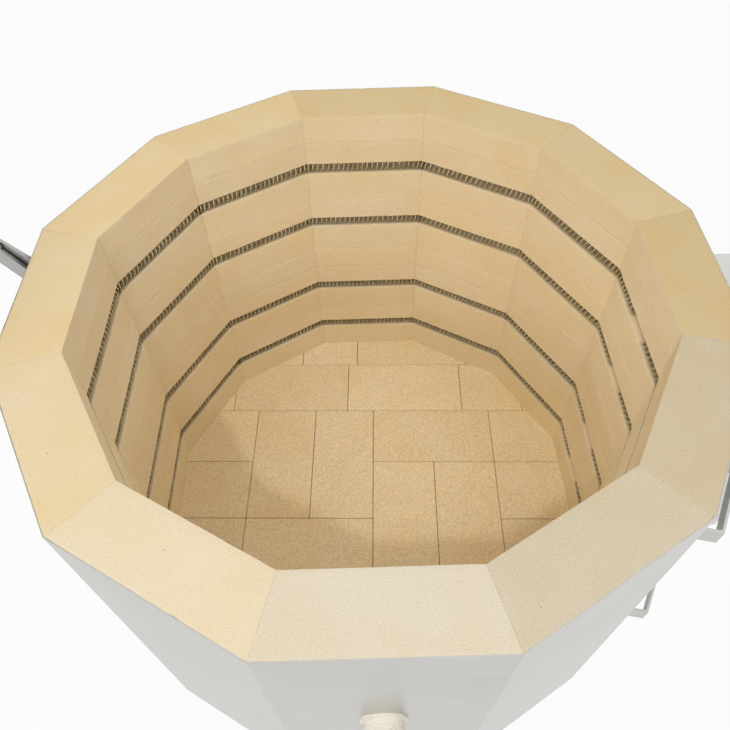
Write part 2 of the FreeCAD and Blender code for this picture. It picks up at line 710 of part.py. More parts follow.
# the rows that full bricks carry on to both sides: top, bottom, and where they start on the left and right
FLOOR_ROWS = ((-1.4, 0, 0.7, 1.7), (0, 1, 3.55, 4.6), (1, 2, 0, 2), (2, 3, 0, 4), (3, 4, 2, 4),
              (4, 5, 1, 1), (5, 6.6, 0, 0))


def floor_cells():
    """The floor's cells row by row, with as many more bricks and rows as reach the wall's outside."""
    reach = range(math.ceil(value("outer / brick_unit")))
    first, last = FLOOR_ROWS[0][0], FLOOR_ROWS[-1][1]
    rows = [*FLOOR_ROWS, *((first - line - 1, first - line, 0, 0) for line in reach),
            *((last + line, last + line + 1, 0, 0) for line in reach)]
    cells = list(FLOOR_CELLS)
    for top, foot, left, right in rows:
        for step in reach:
            cells.append((left - 2 * step - 2, top, left - 2 * step, foot))
            cells.append((right + 2 * step, top, right + 2 * step + 2, foot))
    return sorted(cells, key=lambda cell: (cell[1], cell[0]))


def running_bond(rows, columns):
    """Cells of rows of full bricks, each row shifted by half a brick from the last."""
    cells = []
    for line in range(rows):
        shift = line % 2
        for step in range(columns):
            left = 2 * step - shift
            cells.append((left, line, left + 2, line + 1))
    return cells


def make_floor():
    node(panel_bar("floor_pan", "skin", "stand_height", "floor_foot"))
    corner = Vector(value("floor_shift_x"), value("floor_shift_y"), 0)
    slab_bricks("floor_bricks", floor_cells(), "floor_foot", "floor_top", corner, -value("floor_turn"))
    node(panel_band("floor_band", "floor_foot", "floor_top"))


# walls

WALL_NAMES = ("wall_course_1", "wall_course_2", "wall_course_3", "wall_course_4", "wall_course_5",
              "rim_course")


def make_bricks():
    """One brick of a grooved course and one of a blank course, lying on the floor plane."""
    bricks = []
    for name, height in (("element_brick", "element_course"), ("blank_brick", "blank_course")):
        body = doc.addObject("PartDesign::Body", name)
        plan = sketch_on(body, "XY_Plane", f"{name}_plan")
        outline(plan, (("outer", "-panel_length / 2"), ("outer", "panel_length / 2"),
                       ("inner", "inner * tan(15)"), ("inner", "-inner * tan(15)")))
        pad(body, plan, height)
        bricks.append(body)
    grooved = bricks[0]
    slot = sketch_on(grooved, "XZ_Plane", "groove_slot")
    rectangle(slot, ("inner - 5", "coil_line"),
              ("groove_rise - groove_radius", "groove_rise + groove_radius"))
    pocket(grooved, slot)
    back = sketch_on(grooved, "XZ_Plane", "groove_back")
    ring(back, "coil_line", "groove_rise", "groove_radius")
    pocket(grooved, back)
    return bricks


def lay_course(name, brick, foot, drills):
    """Twelve mitred bricks in a ring, with what is drilled through some of them."""
    doc.recompute()
    laid = []
    for count in range(PANELS):
        angle = round(count * PANEL_TURN)
        piece = brick.Shape.copy()
        piece.Placement = Placement(Vector(0, 0, value(foot)), Rotation(UP, angle))
        for drill_angle, drill in drills:
            if drill_angle % 360 == angle:
                piece = piece.cut(drill.Shape)
        laid.append(piece)
    course = doc.addObject("Part::Feature", name)
    course.Shape = Part.makeCompound(laid)
    return node(course)


def make_walls():
    """Two rings of bricks, each of two grooved courses and a blank one."""
    grooved, blank = make_bricks()
    names = iter(WALL_NAMES)
    slope = f"5 * {PEEPHOLE_SLOPE}"
    for foot, rows in zip(RINGS, (ROWS[:2], ROWS[2:])):
        peephole = rod("peephole_drill", ("inner - 5", "0", f"{foot} + peephole_rise"), "wall + 10",
                       f"peephole_inside / 2 - {slope}", ALONG_X, FRONT_PANEL,
                       f"peephole_outside / 2 + {slope}")
        bushings = [[(BOX_PANEL, hole) for hole in bushing_holes(row, "coil_line")] for row in rows]
        sheath = hole_x("sheath_drill", "0", PROBE_HEIGHT, SHEATH_HOLE, THERMOCOUPLE_PANEL, "inner - 5")
        lay_course(next(names), grooved, foot, [*bushings[0], (FRONT_PANEL, peephole)])
        lay_course(next(names), grooved, f"{foot} + element_course",
                   [*bushings[1], (THERMOCOUPLE_PANEL, sheath)])
        lay_course(next(names), blank, f"{foot} + 2 * element_course", [])


# heating

def coil_station(travel, line, corner, half_gap):
    """Where the coil's middle line is after some travel: a point, the outward way, and the curvature."""
    step = math.radians(PANEL_TURN)
    trim = corner * math.tan(step / 2)
    half = line * math.tan(step / 2) - trim
    first = half - half_gap
    side = 2 * half
    bend = corner * step
    panel = 0
    along = half_gap + travel
    curvature = 0.0
    if travel > first:
        panel, rest = divmod(travel - first, bend + side)
        if rest < bend:
            centre_way = (panel + 0.5) * step
            centre = (line - corner) / math.cos(step / 2)
            way = panel * step + rest / corner
            out = Vector(math.cos(way), math.sin(way), 0)
            middle = Vector(math.cos(centre_way), math.sin(centre_way), 0) * centre
            return middle + out * corner, out, 1 / corner
        panel += 1
        along = rest - bend - half
    way = panel * step
    out = Vector(math.cos(way), math.sin(way), 0)
    sideways = Vector(-math.sin(way), math.cos(way), 0)
    return out * line + sideways * along, out, curvature


def coil_points():
    """Points and ways of one coil at each quarter turn, at height nought."""
    line = value("coil_line")
    corner = value("coil_corner")
    radius = value("coil_radius")
    half_gap = value("coil_ends / 2")
    turns = round(value("coil_turns"))
    step = math.radians(PANEL_TURN)
    straight = 2 * (line - corner) * math.tan(step / 2)
    length = PANELS * (straight + corner * step) - 2 * half_gap
    stations = []
    for quarter in range(4 * turns + 1):
        travel = length * quarter / (4 * turns)
        phase = quarter * math.pi / 2
        middle, out, curvature = coil_station(travel, line, corner, half_gap)
        forward = UP.cross(out)
        point = middle + (out * math.cos(phase) + UP * math.sin(phase)) * radius
        climb = 2 * math.pi * turns / length * radius
        way = forward * (1 + curvature * radius * math.cos(phase))
        way += (UP * math.cos(phase) - out * math.sin(phase)) * climb
        way.normalize()
        stations.append((point, way))
    return stations


def make_element_shape():
    """One element at height nought: a tail, the wound coil round the chamber, and the other tail."""
    bend = value("tail_bend")
    start_x = value("tail_start")
    tail_end = value("bushing_end + tail_grip")
    tail_side = value("tail_line")
    stations = coil_points()
    stations[0] = (stations[0][0], ALONG_Y)
    stations[-1] = (stations[-1][0], ALONG_Y)
    first = stations[0][0]
    last = stations[-1][0]
    slack = bend * (1 - math.sqrt(0.5))
    ends = [Vector(tail_end, side, 0) for side in (tail_side, -tail_side)]
    bends = [Vector(start_x, side, 0) for side in (tail_side, -tail_side)]
    edges = [Part.LineSegment(ends[0], bends[0]).toShape()]
    edges.append(Part.Arc(bends[0], Vector(first.x + slack, tail_side + slack, 0), first).toShape())
    for (point, way), (next_point, next_way) in zip(stations, stations[1:]):
        edges += biarc(point, way, next_point, next_way)
    edges.append(Part.Arc(last, Vector(last.x + slack, -tail_side - slack, 0), bends[1]).toShape())
    edges.append(Part.LineSegment(bends[1], ends[1]).toShape())
    points = [point for point, way in stations]
    near = min((a - b).Length for place, a in enumerate(points) for b in points[place + 4:])
    print("least gap of a coil to itself", round(near - value("coil_wire"), 2))
    return tube_along(edges, value("coil_wire / 2"))


def make_elements():
    shape = make_element_shape()
    for number, row in enumerate(ROWS, start=1):
        element = doc.addObject("Part::Feature", f"element_{number}")
        element.Shape = shape
        element.Placement = Placement(Vector(0, 0, value(f"{row} - coil_drop")), Rotation())
        node(element)

    length = "bushing_end - bushing_start"
    tube = rod("bushing_tube", ("bushing_start", "0", "0"), length, "bushing_diameter / 2", ALONG_X)
    bore = rod("bushing_bore_tool", ("bushing_start - 1", "0", "0"), f"{length} + 2", "bushing_bore / 2",
               ALONG_X)
    bushing = cut("bushing", tube, [bore])
    barrel = rod("barrel", ("connector_start", "0", "0"), "connector_length", "connector_diameter / 2",
                 ALONG_X)
    socket = rod("barrel_socket", ("connector_start - 1", "0", "0"),
                 "bushing_end + tail_grip - connector_start + 1", "coil_wire / 2 + thread_play", ALONG_X)
    connector = cut("connector", barrel, [socket])
    doc.recompute()
    spots = [Placement(Vector(0, side * value("tail_line"), value(f"{row} - coil_drop")), Rotation())
             for row in ROWS for side in (-1, 1)]
    copies("element_bushings", [(bushing.Shape, spot) for spot in spots])
    copies("element_connectors", [(connector.Shape, spot) for spot in spots])


# jackets and what hangs on them

def bushing_holes(row, low="outer - 5", high="skin + 5"):
    """Tools for the two holes that an element's bushings go through."""
    return [hole_x("bushing_hole", side, f"{row} - coil_drop", BUSHING_HOLE, BOX_PANEL, low, high)
            for side in both("tail_line")]


def jacket_holes(foot, rows, standoff_height):
    """Everything that goes through one jacket."""
    handle_height = f"{foot} + ring_height - ring_handle_inset"
    holes = [hole for row in rows for hole in bushing_holes(row)]
    holes += [hole_x("standoff_hole", side, standoff_height, SCREW_HOLE)
              for side in both("standoff_span / 2")]
    holes += [hole_x("handle_hole", side, handle_height, SCREW_HOLE, panel)
              for panel in HANDLE_PANELS for side in both(handle_screw_side("ring_handle_grip"))]
    holes.append(hole_x("peephole_hole", "0", f"{foot} + peephole_rise", "ferrule_bore / 2", FRONT_PANEL))
    return holes


def make_jackets():
    low_holes = jacket_holes("floor_top", ROWS[:2], "box_low + standoff_inset")
    low_holes.append(hole_x("sheath_hole", "0", PROBE_HEIGHT, SHEATH_HOLE, THERMOCOUPLE_PANEL))
    node(panel_band("jacket_lower", "floor_top", "middle", low_holes))
    high_holes = jacket_holes("middle", ROWS[2:], "box_high - standoff_inset")
    high_holes += [hole_x("bracket_hole", side, height, SCREW_HOLE, HINGE_PANEL)
                   for side, height in bracket_screw_spots()]
    node(panel_band("jacket_upper", "middle", "rim", high_holes))


def make_clamps():
    """Lug pairs and their screws at the back: on both jackets, the floor band and the lid band."""
    lug = doc.addObject("PartDesign::Body", "clamp_lug")
    fold = sketch_on(lug, "XY_Plane", "lug_fold")
    near = "clamp_gap / 2"
    outline(fold, (("skin", near), ("skin + lug_height", near), ("skin + lug_height", f"{near} + lug_gauge"),
                   ("skin + lug_gauge", f"{near} + lug_gauge"), ("skin + lug_gauge", f"{near} + lug_foot"),
                   ("skin", f"{near} + lug_foot")))
    pad(lug, fold, "lug_width", midplane=True)
    screw_line = "skin + lug_height * 0.6"
    pocket(lug, ring(sketch_on(lug, "XZ_Plane", "lug_eye"), screw_line, "0", SCREW_HOLE))
    grip = "clamp_gap + 2 * lug_gauge"
    screw = make_screw("clamp_screw", "screw_diameter", f"{grip} + small_nut + bolt_end",
                       "screw_diameter * 1.6", "screw_dome", 6)
    nut = polygon_bar("clamp_nut", 6, "screw_diameter * 0.8", grip, f"{grip} + small_nut")
    screw_and_nut = fuse("clamp_screw_and_nut", [screw, nut])
    doc.recompute()
    mirrored = lug.Shape.mirror(Vector(), ALONG_Y)
    start = aimed(value(screw_line), value(f"-({near} + lug_gauge)"), 0, ALONG_Y)

    def at_back(height):
        return Placement(Vector(0, 0, value(height)), Rotation(UP, BACK_PANEL))

    def lugs(height):
        return [(lug.Shape, at_back(height)), (mirrored, at_back(height))]

    def screw_at(height):
        return (screw_and_nut.Shape, at_back(height).multiply(start))

    heights = [f"{foot} + {rise}" for foot in RINGS for rise in ("clamp_inset", "ring_height - clamp_inset")]
    copies("jacket_clamp_lugs", [pair for height in heights for pair in lugs(height)])
    copies("jacket_clamp_screws", [screw_at(height) for height in heights])
    floor_height = "floor_foot + slab / 2"
    copies("floor_band_clamp", [*lugs(floor_height), screw_at(floor_height)])
    lid_clamp = copies("lid_band_clamp", [*lugs(LID_BAND_MIDDLE), screw_at(LID_BAND_MIDDLE)])
    lid_clamp.Placement = lid_opening()


def standoff_spots():
    heights = ("box_low + standoff_inset", "box_high - standoff_inset")
    return [(side, height) for side in both("standoff_span / 2") for height in heights]


def face_screw_spots():
    heights = [f"face_middle + {height}" for height in both("(face_height - face_lap) / 2")]
    return [(side, height) for side in both("(face_width - face_lap) / 2") for height in heights]


def face_screw_holes(reach):
    return [hole_x("face_screw_hole", side, height, FACE_SCREW_HOLE, BOX_PANEL, *reach)
            for side, height in face_screw_spots()]


def handle_screw_side(grip):
    return f"{grip} / 2 + strap_slope + strap_flange / 2"


def strap_handle(name, reach, grip):
    """A bent strap handle in front of the panel on +X, at height nought."""
    body = doc.addObject("PartDesign::Body", name)
    bent = sketch_on(body, "XY_Plane", f"{name}_bends")
    top = f"skin + {reach}"
    low = "skin + strap_gauge"
    grip_side = f"({grip} / 2)"
    leg_side = f"({grip} / 2 + strap_slope)"
    end_side = f"({grip} / 2 + strap_slope + strap_flange)"
    half = ((low, end_side), (low, leg_side), (top, grip_side))
    inner_half = ((f"{top} - strap_gauge", f"({grip_side} - strap_gauge)"),
                  ("skin", f"({leg_side} - strap_gauge)"), ("skin", end_side))
    mirrored = [(x, f"-{y}") for x, y in reversed(half)]
    inner_mirrored = [(x, f"-{y}") for x, y in reversed(inner_half)]
    outline(bent, (*half, *mirrored, *inner_mirrored, *inner_half))
    pad(body, bent, "strap_width", midplane=True)
    drill = sketch_on(body, "YZ_Plane", f"{name}_holes")
    for side in both(handle_screw_side(grip)):
        ring(drill, side, "0", SCREW_HOLE)
    pocket(body, drill)
    return body


def make_handles():
    ring_handle = strap_handle("ring_handle", "ring_handle_reach", "ring_handle_grip")
    lid_handle = strap_handle("lid_handle_strap", "lid_handle_reach", "lid_handle_grip")
    screw = make_screw("sheet_screw", "screw_diameter", "strap_gauge + jacket_gauge", "screw_head",
                       "screw_dome")
    doc.recompute()
    seat = value("skin + strap_gauge")

    def screws(grip, spot):
        side = value(handle_screw_side(grip))
        return [(screw.Shape, spot.multiply(aimed(seat, way * side, 0, INWARD))) for way in (-1, 1)]

    ring_screws = []
    for name, foot in zip(("lower_handles", "upper_handles"), RINGS):
        height = value(f"{foot} + ring_height - ring_handle_inset")
        spots = [Placement(Vector(0, 0, height), Rotation(UP, panel)) for panel in HANDLE_PANELS]
        copies(name, [(ring_handle.Shape, spot) for spot in spots])
        ring_screws += [placed for spot in spots for placed in screws("ring_handle_grip", spot)]
    copies("handle_screws", ring_screws)
    raised = Placement(Vector(0, 0, value(LID_BAND_MIDDLE)), Rotation())
    copies("lid_handle", [(lid_handle.Shape, raised)]).Placement = lid_opening()
    copies("lid_handle_screws", screws("lid_handle_grip", raised)).Placement = lid_opening()


# peepholes

def make_peepholes():
    """Ferrules on the jackets, and a tapered plug in each peephole."""
    tip = "inner + plug_recess"
    seat = "skin + ferrule_gauge"
    top = f"{seat} + plug_head_length"
    tip_radius = f"peephole_inside / 2 + plug_recess * {PEEPHOLE_SLOPE} - plug_play"
    seat_radius = f"peephole_inside / 2 + ({seat} - inner) * {PEEPHOLE_SLOPE} - plug_play"
    flange = rod("ferrule_flange", ("skin", "0", "0"), "ferrule_gauge", "ferrule_diameter / 2", ALONG_X)
    eye = rod("ferrule_eye", ("skin - 1", "0", "0"), "ferrule_gauge + 2", "ferrule_bore / 2", ALONG_X)
    ferrule = cut("ferrule", flange, [eye])
    doc.recompute()
    heights = [f"{foot} + peephole_rise" for foot in RINGS]
    spots = [Placement(Vector(0, 0, value(height)), Rotation(UP, FRONT_PANEL)) for height in heights]
    copies("peephole_ferrules", [(ferrule.Shape, spot) for spot in spots])
    for name, height in zip(("peephole_plug_lower", "peephole_plug_upper"), heights):
        plug = doc.addObject("PartDesign::Body", name)
        profile = outline(sketch_on(plug, "XY_Plane", f"{name}_profile"), (
            (tip, "0"), (top, "0"), (top, "plug_head / 2 - plug_edge"),
            (f"{top} - plug_edge", "plug_head / 2"), (seat, "plug_head / 2"), (seat, seat_radius),
            (tip, tip_radius)))
        turn = plug.newObject("PartDesign::Revolution", f"{name}_turn")
        turn.Profile = profile
        turn.ReferenceAxis = (profile, ["H_Axis"])
        plug.Tip = turn
        plug.Placement = turned(FRONT_PANEL)
        bind(plug, "Placement.Base.z", height)
        node(plug)


# lid and hinge

def make_lid():
    half_units = math.ceil(value("outer / brick_unit"))
    corner = Vector(-half_units, half_units, 0) * value("brick_unit")
    cells = running_bond(2 * half_units, half_units + 1)
    slab_bricks("lid_bricks", cells, "lid_foot", "lid_top", corner, 0, lid_opening())
    holes = [hole_x("lid_handle_hole", side, LID_BAND_MIDDLE, SCREW_HOLE)
             for side in both(handle_screw_side("lid_handle_grip"))]
    holes += [hole_x("leaf_screw_hole", side, height, SCREW_HOLE, HINGE_PANEL)
              for side, height in leaf_screw_spots()]
    band = node(panel_band("lid_band", "lid_foot + band_inset", "lid_top", holes))
    band.Placement = lid_opening()


def leaf_screw_spots():
    low = "lid_foot + leaf_low + plate_screw_inset"
    high = "lid_foot + leaf_low + leaf_height - plate_screw_inset"
    return [(side, height) for side in both("leaf_width / 2 - plate_screw_inset") for height in (low, high)]


def bracket_screw_spots():
    high = "rim - bracket_top - bracket_arm - plate_screw_inset * 1.5"
    low = "rim - bracket_top - bracket_height + plate_screw_inset * 1.5"
    sides = (*both("bracket_width / 2 - plate_screw_inset"), "0")
    return [(side, height) for side in sides for height in (low, high)]


def eared_plate(name, span, plate_y, plate_z, arm, screws, heel=None):
    """A plate against the left panel, with two ears that reach out to the hinge pin."""
    body = doc.addObject("PartDesign::Body", name)
    plate = rectangle(sketch_on(body, "YZ_Plane", f"{name}_plate", "-hinge_face"), plate_y, plate_z)
    pad(body, plate, "hinge_plate")
    ears = [outline(sketch_on(body, "XZ_Plane", f"{name}_arm"), arm),
            ring(sketch_on(body, "XZ_Plane", f"{name}_boss"), "pivot_x", "pivot_z", "hinge_boss")]
    if heel:
        bar, end = heel
        ears.append(outline(sketch_on(body, "XZ_Plane", f"{name}_heel_bar"), bar))
        ears.append(ring(sketch_on(body, "XZ_Plane", f"{name}_heel_end"), *end, "heel_radius"))
    for ear in ears:
        pad(body, ear, span, midplane=True)
    between = sketch_on(body, "XZ_Plane", f"{name}_between")
    rectangle(between, ("pivot_x - 2 * heel_length", "-hinge_face"),
              ("pivot_z - bracket_height - pivot_up", "pivot_z + bracket_height"))
    pocket(body, between, f"{span} - 2 * hinge_ear")
    pocket(body, ring(sketch_on(body, "XZ_Plane", f"{name}_bore"), "pivot_x", "pivot_z", PIN_HOLE))
    drill = sketch_on(body, "YZ_Plane", f"{name}_screw_holes")
    for side, height in screws:
        ring(drill, side, height, SCREW_HOLE)
    pocket(body, drill)
    return node(body)


def make_hinge():
    """The bracket on the jacket, the leaf on the lid with its stop heel, and the pin."""
    face = "-hinge_face"
    lean = "hinge_boss * 0.7"
    high = "rim - bracket_top"
    arm = ((face, high), (face, f"{high} - bracket_arm"), (f"pivot_x - {lean}", f"pivot_z - {lean}"),
           (f"pivot_x + {lean}", f"pivot_z + {lean}"))
    eared_plate("hinge_bracket", "bracket_span", centred("bracket_width / 2"),
                (f"{high} - bracket_height", high), arm, bracket_screw_spots())

    low = "lid_foot + leaf_low"
    side = "hinge_boss * 0.98"
    arm = ((face, low), (face, f"{low} + leaf_arm"), ("pivot_x", f"pivot_z + {side}"),
           ("pivot_x", f"pivot_z - {side}"))
    end_x = "pivot_x - heel_length * cos(heel_turn)"
    end_z = "pivot_z - heel_length * sin(heel_turn)"
    aside = "heel_radius * 0.9 * sin(heel_turn)"
    below = "heel_radius * 0.9 * cos(heel_turn)"
    bar = ((f"pivot_x + {aside}", f"pivot_z - {below}"), (f"{end_x} + {aside}", f"{end_z} - {below}"),
           (f"{end_x} - {aside}", f"{end_z} + {below}"), (f"pivot_x - {aside}", f"pivot_z + {below}"))
    leaf = eared_plate("lid_hinge_leaf", "leaf_span", centred("leaf_width / 2"),
                       (low, f"{low} + leaf_height"), arm, leaf_screw_spots(), (bar, (end_x, end_z)))
    leaf.Placement = lid_opening()

    half = "bracket_span / 2"
    head = rod("pin_head", ("pivot_x", f"-({half} + pin_head_length)", "pivot_z"), "pin_head_length",
               "pin_head / 2", ALONG_Y)
    shank = rod("pin_shank", ("pivot_x", f"-{half}", "pivot_z"), "bracket_span + pin_end",
                "pin_diameter / 2", ALONG_Y)
    cotter_start = ("pivot_x", f"{half} + pin_end / 2", "pivot_z - pin_diameter")
    cotter_hole = rod("cotter_hole", cotter_start, "2 * pin_diameter", "cotter_diameter / 2 + thread_play")
    pin = cut("pin", fuse("pin_blank", [head, shank]), [cotter_hole])
    cotter = rod("cotter", cotter_start, "2 * pin_diameter", "cotter_diameter / 2")
    doc.recompute()
    copies("hinge_pin", [(pin.Shape, Placement()), (cotter.Shape, Placement())])

    screw = make_screw("plate_screw", "screw_diameter", "hinge_plate + jacket_gauge", "screw_head",
                       "screw_dome")
    doc.recompute()

    def seated(spots):
        turn = turned(HINGE_PANEL)
        seat = value("hinge_face")
        return [(screw.Shape, turn.multiply(aimed(seat, value(y), value(z), INWARD))) for y, z in spots]

    copies("hinge_screws", seated(bracket_screw_spots()))
    copies("leaf_screws", seated(leaf_screw_spots())).Placement = lid_opening()


# control box

def cover_screw_holes():
    return [rod("cover_screw_hole", (COVER_SCREW_X, "-box_side - 1", height), "box_width + 2", SCREW_HOLE,
                ALONG_Y) for height in COVER_SCREW_HEIGHTS]


def make_box():
    """The back plate on its standoffs, and the housing that slides over it."""
    back = ("box_back", "box_back + box_gauge")
    inside = "box_side - box_gauge"
    tall = ("box_low + box_gauge", "box_high - box_gauge")
    pieces = [box("back_sheet", back, centred(inside), tall)]
    for edges in ((f"{inside} - box_gauge", inside), (f"-({inside})", f"-({inside} - box_gauge)")):
        pieces.append(box("back_flange", ("box_back", "box_back + box_flange"), edges, tall))
    past = "box_back + box_gauge + 1"
    tools = [hole_x("lead_hole_tool", side, f"{row} - coil_drop", "lead_hole / 2", 0, "box_back - 1", past)
             for row in ROWS for side in both("tail_line")]
    tools += [hole_x("standoff_hole", side, height, SCREW_HOLE, 0, "box_back - 1", past)
              for side, height in standoff_spots()]
    tools += cover_screw_holes()
    node(cut("box_back_plate", fuse("back_sheets", pieces), tools))

    block = box("housing_block", ("box_back", "box_front"), centred("box_side"), ("box_low", "box_high"))
    hollow = box("housing_hollow", ("box_back - 1", "box_front - box_gauge"), centred(inside), tall)
    half_width = "face_width / 2 - face_lap"
    half_height = "(face_height / 2 - face_lap)"
    sheet = ("box_front - box_gauge - 1", "box_front + 1")
    tools = [hollow,
             box("controller_cut", sheet, centred(half_width),
                 (f"face_middle - {half_height}", f"face_middle + {half_height}")),
             box("switch_cut", sheet, centred("switch_width / 2"),
                 ("switch_middle - switch_height / 2", "switch_middle + switch_height / 2")),
             rod("gland_hole", (GLAND_X, "gland_side", "box_low - 1"), "box_gauge + 2",
                 "gland_thread / 2 + screw_play"),
             rod("probe_lead_hole", (PROBE_LEAD_X, "-box_side - 1", PROBE_HEIGHT), "box_gauge + 2",
                 "probe_lead_diameter / 2 + probe_lead_play", ALONG_Y)]
    tools += [*face_screw_holes(sheet), *cover_screw_holes()]
    for count in range(VENTS):
        for base, way in (("box_low + vent_inset", "+"), ("box_high - vent_inset", "-")):
            foot = f"{base} {way} {count} * vent_pitch"
            half_slot = "vent_height / 2"
            tools.append(box("vent", ("(box_back + box_front - vent_length) / 2",
                                      "(box_back + box_front + vent_length) / 2"),
                             centred("box_side + 1"), (f"{foot} - {half_slot}", f"{foot} + {half_slot}")))
    node(cut("box_housing", block, tools))


def make_box_fasteners():
    sleeve = rod("standoff_sleeve", ("skin", "0", "0"), "box_gap", "standoff_diameter / 2", ALONG_X)
    bore = hole_x("standoff_bore", "0", "0", SCREW_HOLE, 0, "skin - 1", "box_back + 1")
    standoff = cut("standoff", sleeve, [bore])
    long_screw = make_screw("box_long_screw", "screw_diameter", "jacket_gauge + box_gap + box_gauge",
                            "screw_head", "screw_dome")
    short_screw = make_screw("cover_screw", "screw_diameter", "2 * box_gauge + bolt_end", "screw_head",
                             "screw_dome")
    face_screw = make_screw("face_screw", "face_screw_diameter", "face_gauge + box_gauge + bolt_end",
                            "2 * face_screw_diameter", "face_screw_diameter / 2")
    doc.recompute()
    spots = [(value(side), value(height)) for side, height in standoff_spots()]
    copies("box_standoffs", [(standoff.Shape, Placement(Vector(0, y, z), Rotation())) for y, z in spots])
    seat = value("box_back + box_gauge")
    placed = [(long_screw.Shape, aimed(seat, y, z, INWARD)) for y, z in spots]
    for side in (1, -1):
        for height in COVER_SCREW_HEIGHTS:
            spot = aimed(value(COVER_SCREW_X), side * value("box_side"), value(height), ALONG_Y * -side)
            placed.append((short_screw.Shape, spot))
    front = value("box_front + face_gauge")
    placed += [(face_screw.Shape, aimed(front, value(y), value(z), INWARD)) for y, z in face_screw_spots()]
    copies("box_screws", placed)


def make_controller():
    """The face with its display opening and key holes, the window, the board behind it and the three keys."""
    face_x = ("box_front", "box_front + face_gauge")
    past = ("box_front - 1", "box_front + face_gauge + 1")
    half_face = "face_height / 2"
    half_display = "display_height / 2"
    display_z = "(face_middle + display_rise)"
    plate = box("face_plate", face_x, centred("face_width / 2"),
                (f"face_middle - {half_face}", f"face_middle + {half_face}"))
    tools = [box("display_cut", past, centred("display_width / 2"),
                 (f"{display_z} - {half_display}", f"{display_z} + {half_display}"))]
    tools += [hole_x("key_hole", side, "key_line", "key_diameter / 2 + key_play", 0, *past)
              for name, side in KEYS]
    tools += face_screw_holes(past)
    node(cut("controller_face", plate, tools))

    lapped = f"({half_display} + display_lap)"
    window_back = "box_front - display_gauge"
    node(box("display_window", (window_back, "box_front"), centred("display_width / 2 + display_lap"),
             (f"{display_z} - {lapped}", f"{display_z} + {lapped}")))

    board_back = "box_front - board_depth - board_gauge"
    board_front = "box_front - board_depth"
    half_width = "(face_width / 2 - face_lap - board_inset)"
    half_height = "(face_height / 2 - face_lap - board_inset)"
    pieces = [box("board_sheet", (board_back, board_front), centred(half_width),
                  (f"face_middle - {half_height}", f"face_middle + {half_height}")),
              box("display_module", (board_front, window_back), centred("display_width / 2 - display_lap"),
                  (f"{display_z} - {half_display}", f"{display_z} + {half_display}"))]
    for side in both(f"{half_width} - post_inset"):
        for height in both(f"{half_height} - post_inset"):
            pieces.append(rod("board_post", (board_front, side, f"face_middle + {height}"), "board_depth",
                              "post_diameter / 2", ALONG_X))
    contact_length = "board_depth - key_lip - key_travel - key_stop"
    pieces += [rod("key_contact", (board_front, side, "key_line"), contact_length, "key_diameter / 4",
                   ALONG_X) for name, side in KEYS]
    node(fuse("controller_board", pieces))

    for name, side in KEYS:
        back = ("box_front - key_lip", side, "key_line")
        lip = rod(f"{name}_lip", back, "key_lip", "key_diameter / 2 + key_lip", ALONG_X)
        cap = rod(f"{name}_cap", back, "key_lip + face_gauge + key_proud", "key_diameter / 2", ALONG_X)
        node(fuse(name, [lip, cap]))


def make_switch():
    """The power switch: a body clipped into the housing, and its rocker, at rest with the top out."""
    half_width = "(switch_width / 2 - switch_fit)"
    half_height = "(switch_height / 2 - switch_fit)"
    level = "switch_middle"
    bezel_half = "(switch_height / 2 + switch_bezel)"
    switch_back = "box_front - switch_depth"
    pieces = [box("switch_block", (switch_back, "box_front"), centred(half_width),
                  (f"{level} - {half_height}", f"{level} + {half_height}")),
              box("switch_bezel_plate", ("box_front", "box_front + switch_face"),
                  centred("switch_width / 2 + switch_bezel"),
                  (f"{level} - {bezel_half}", f"{level} + {bezel_half}"))]
    for rise in both("blade_spread / 2"):
        blade_z = (f"{level} + {rise} - blade_gauge / 2", f"{level} + {rise} + blade_gauge / 2")
        pieces.append(box("switch_blade", (f"{switch_back} - blade_length", switch_back),
                          centred("blade_width / 2"), blade_z))
    shell = fuse("switch_shell", pieces)
    swing = "(sqrt(rocker_half ^ 2 + rocker_front ^ 2) + rocker_play)"
    cavity = box("rocker_cavity", ("rocker_line - rocker_half", "box_front + switch_face + 1"),
                 centred("rocker_width / 2 + rocker_play"), (f"{level} - {swing}", f"{level} + {swing}"))
    pin_hole = rod("rocker_pin_hole", ("rocker_line", "-switch_width", level), "2 * switch_width",
                   "rocker_pin / 2 + pin_play", ALONG_Y)
    node(cut("switch_body", shell, [cavity, pin_hole]))

    body = doc.addObject("PartDesign::Body", "switch_rocker")
    back = "rocker_line - rocker_back"
    front = "rocker_line + rocker_front"
    foot = f"{level} - rocker_half"
    top = f"{level} + rocker_half"
    profile = outline(sketch_on(body, "XZ_Plane", "rocker_profile"), (
        (back, foot), (front, foot), ("rocker_line + rocker_dip", level), (front, top), (back, top)))
    pad(body, profile, "rocker_width", midplane=True)
    axle = ring(sketch_on(body, "XZ_Plane", "rocker_axle"), "rocker_line", level, "rocker_pin / 2")
    pad(body, axle, "rocker_width + 2 * rocker_pin_length", midplane=True)
    pivot = Vector(value("rocker_line"), 0, value(level))
    body.Placement = Placement(Vector(), Rotation(ALONG_Y, value("rocker_tilt")), pivot)
    node(body)


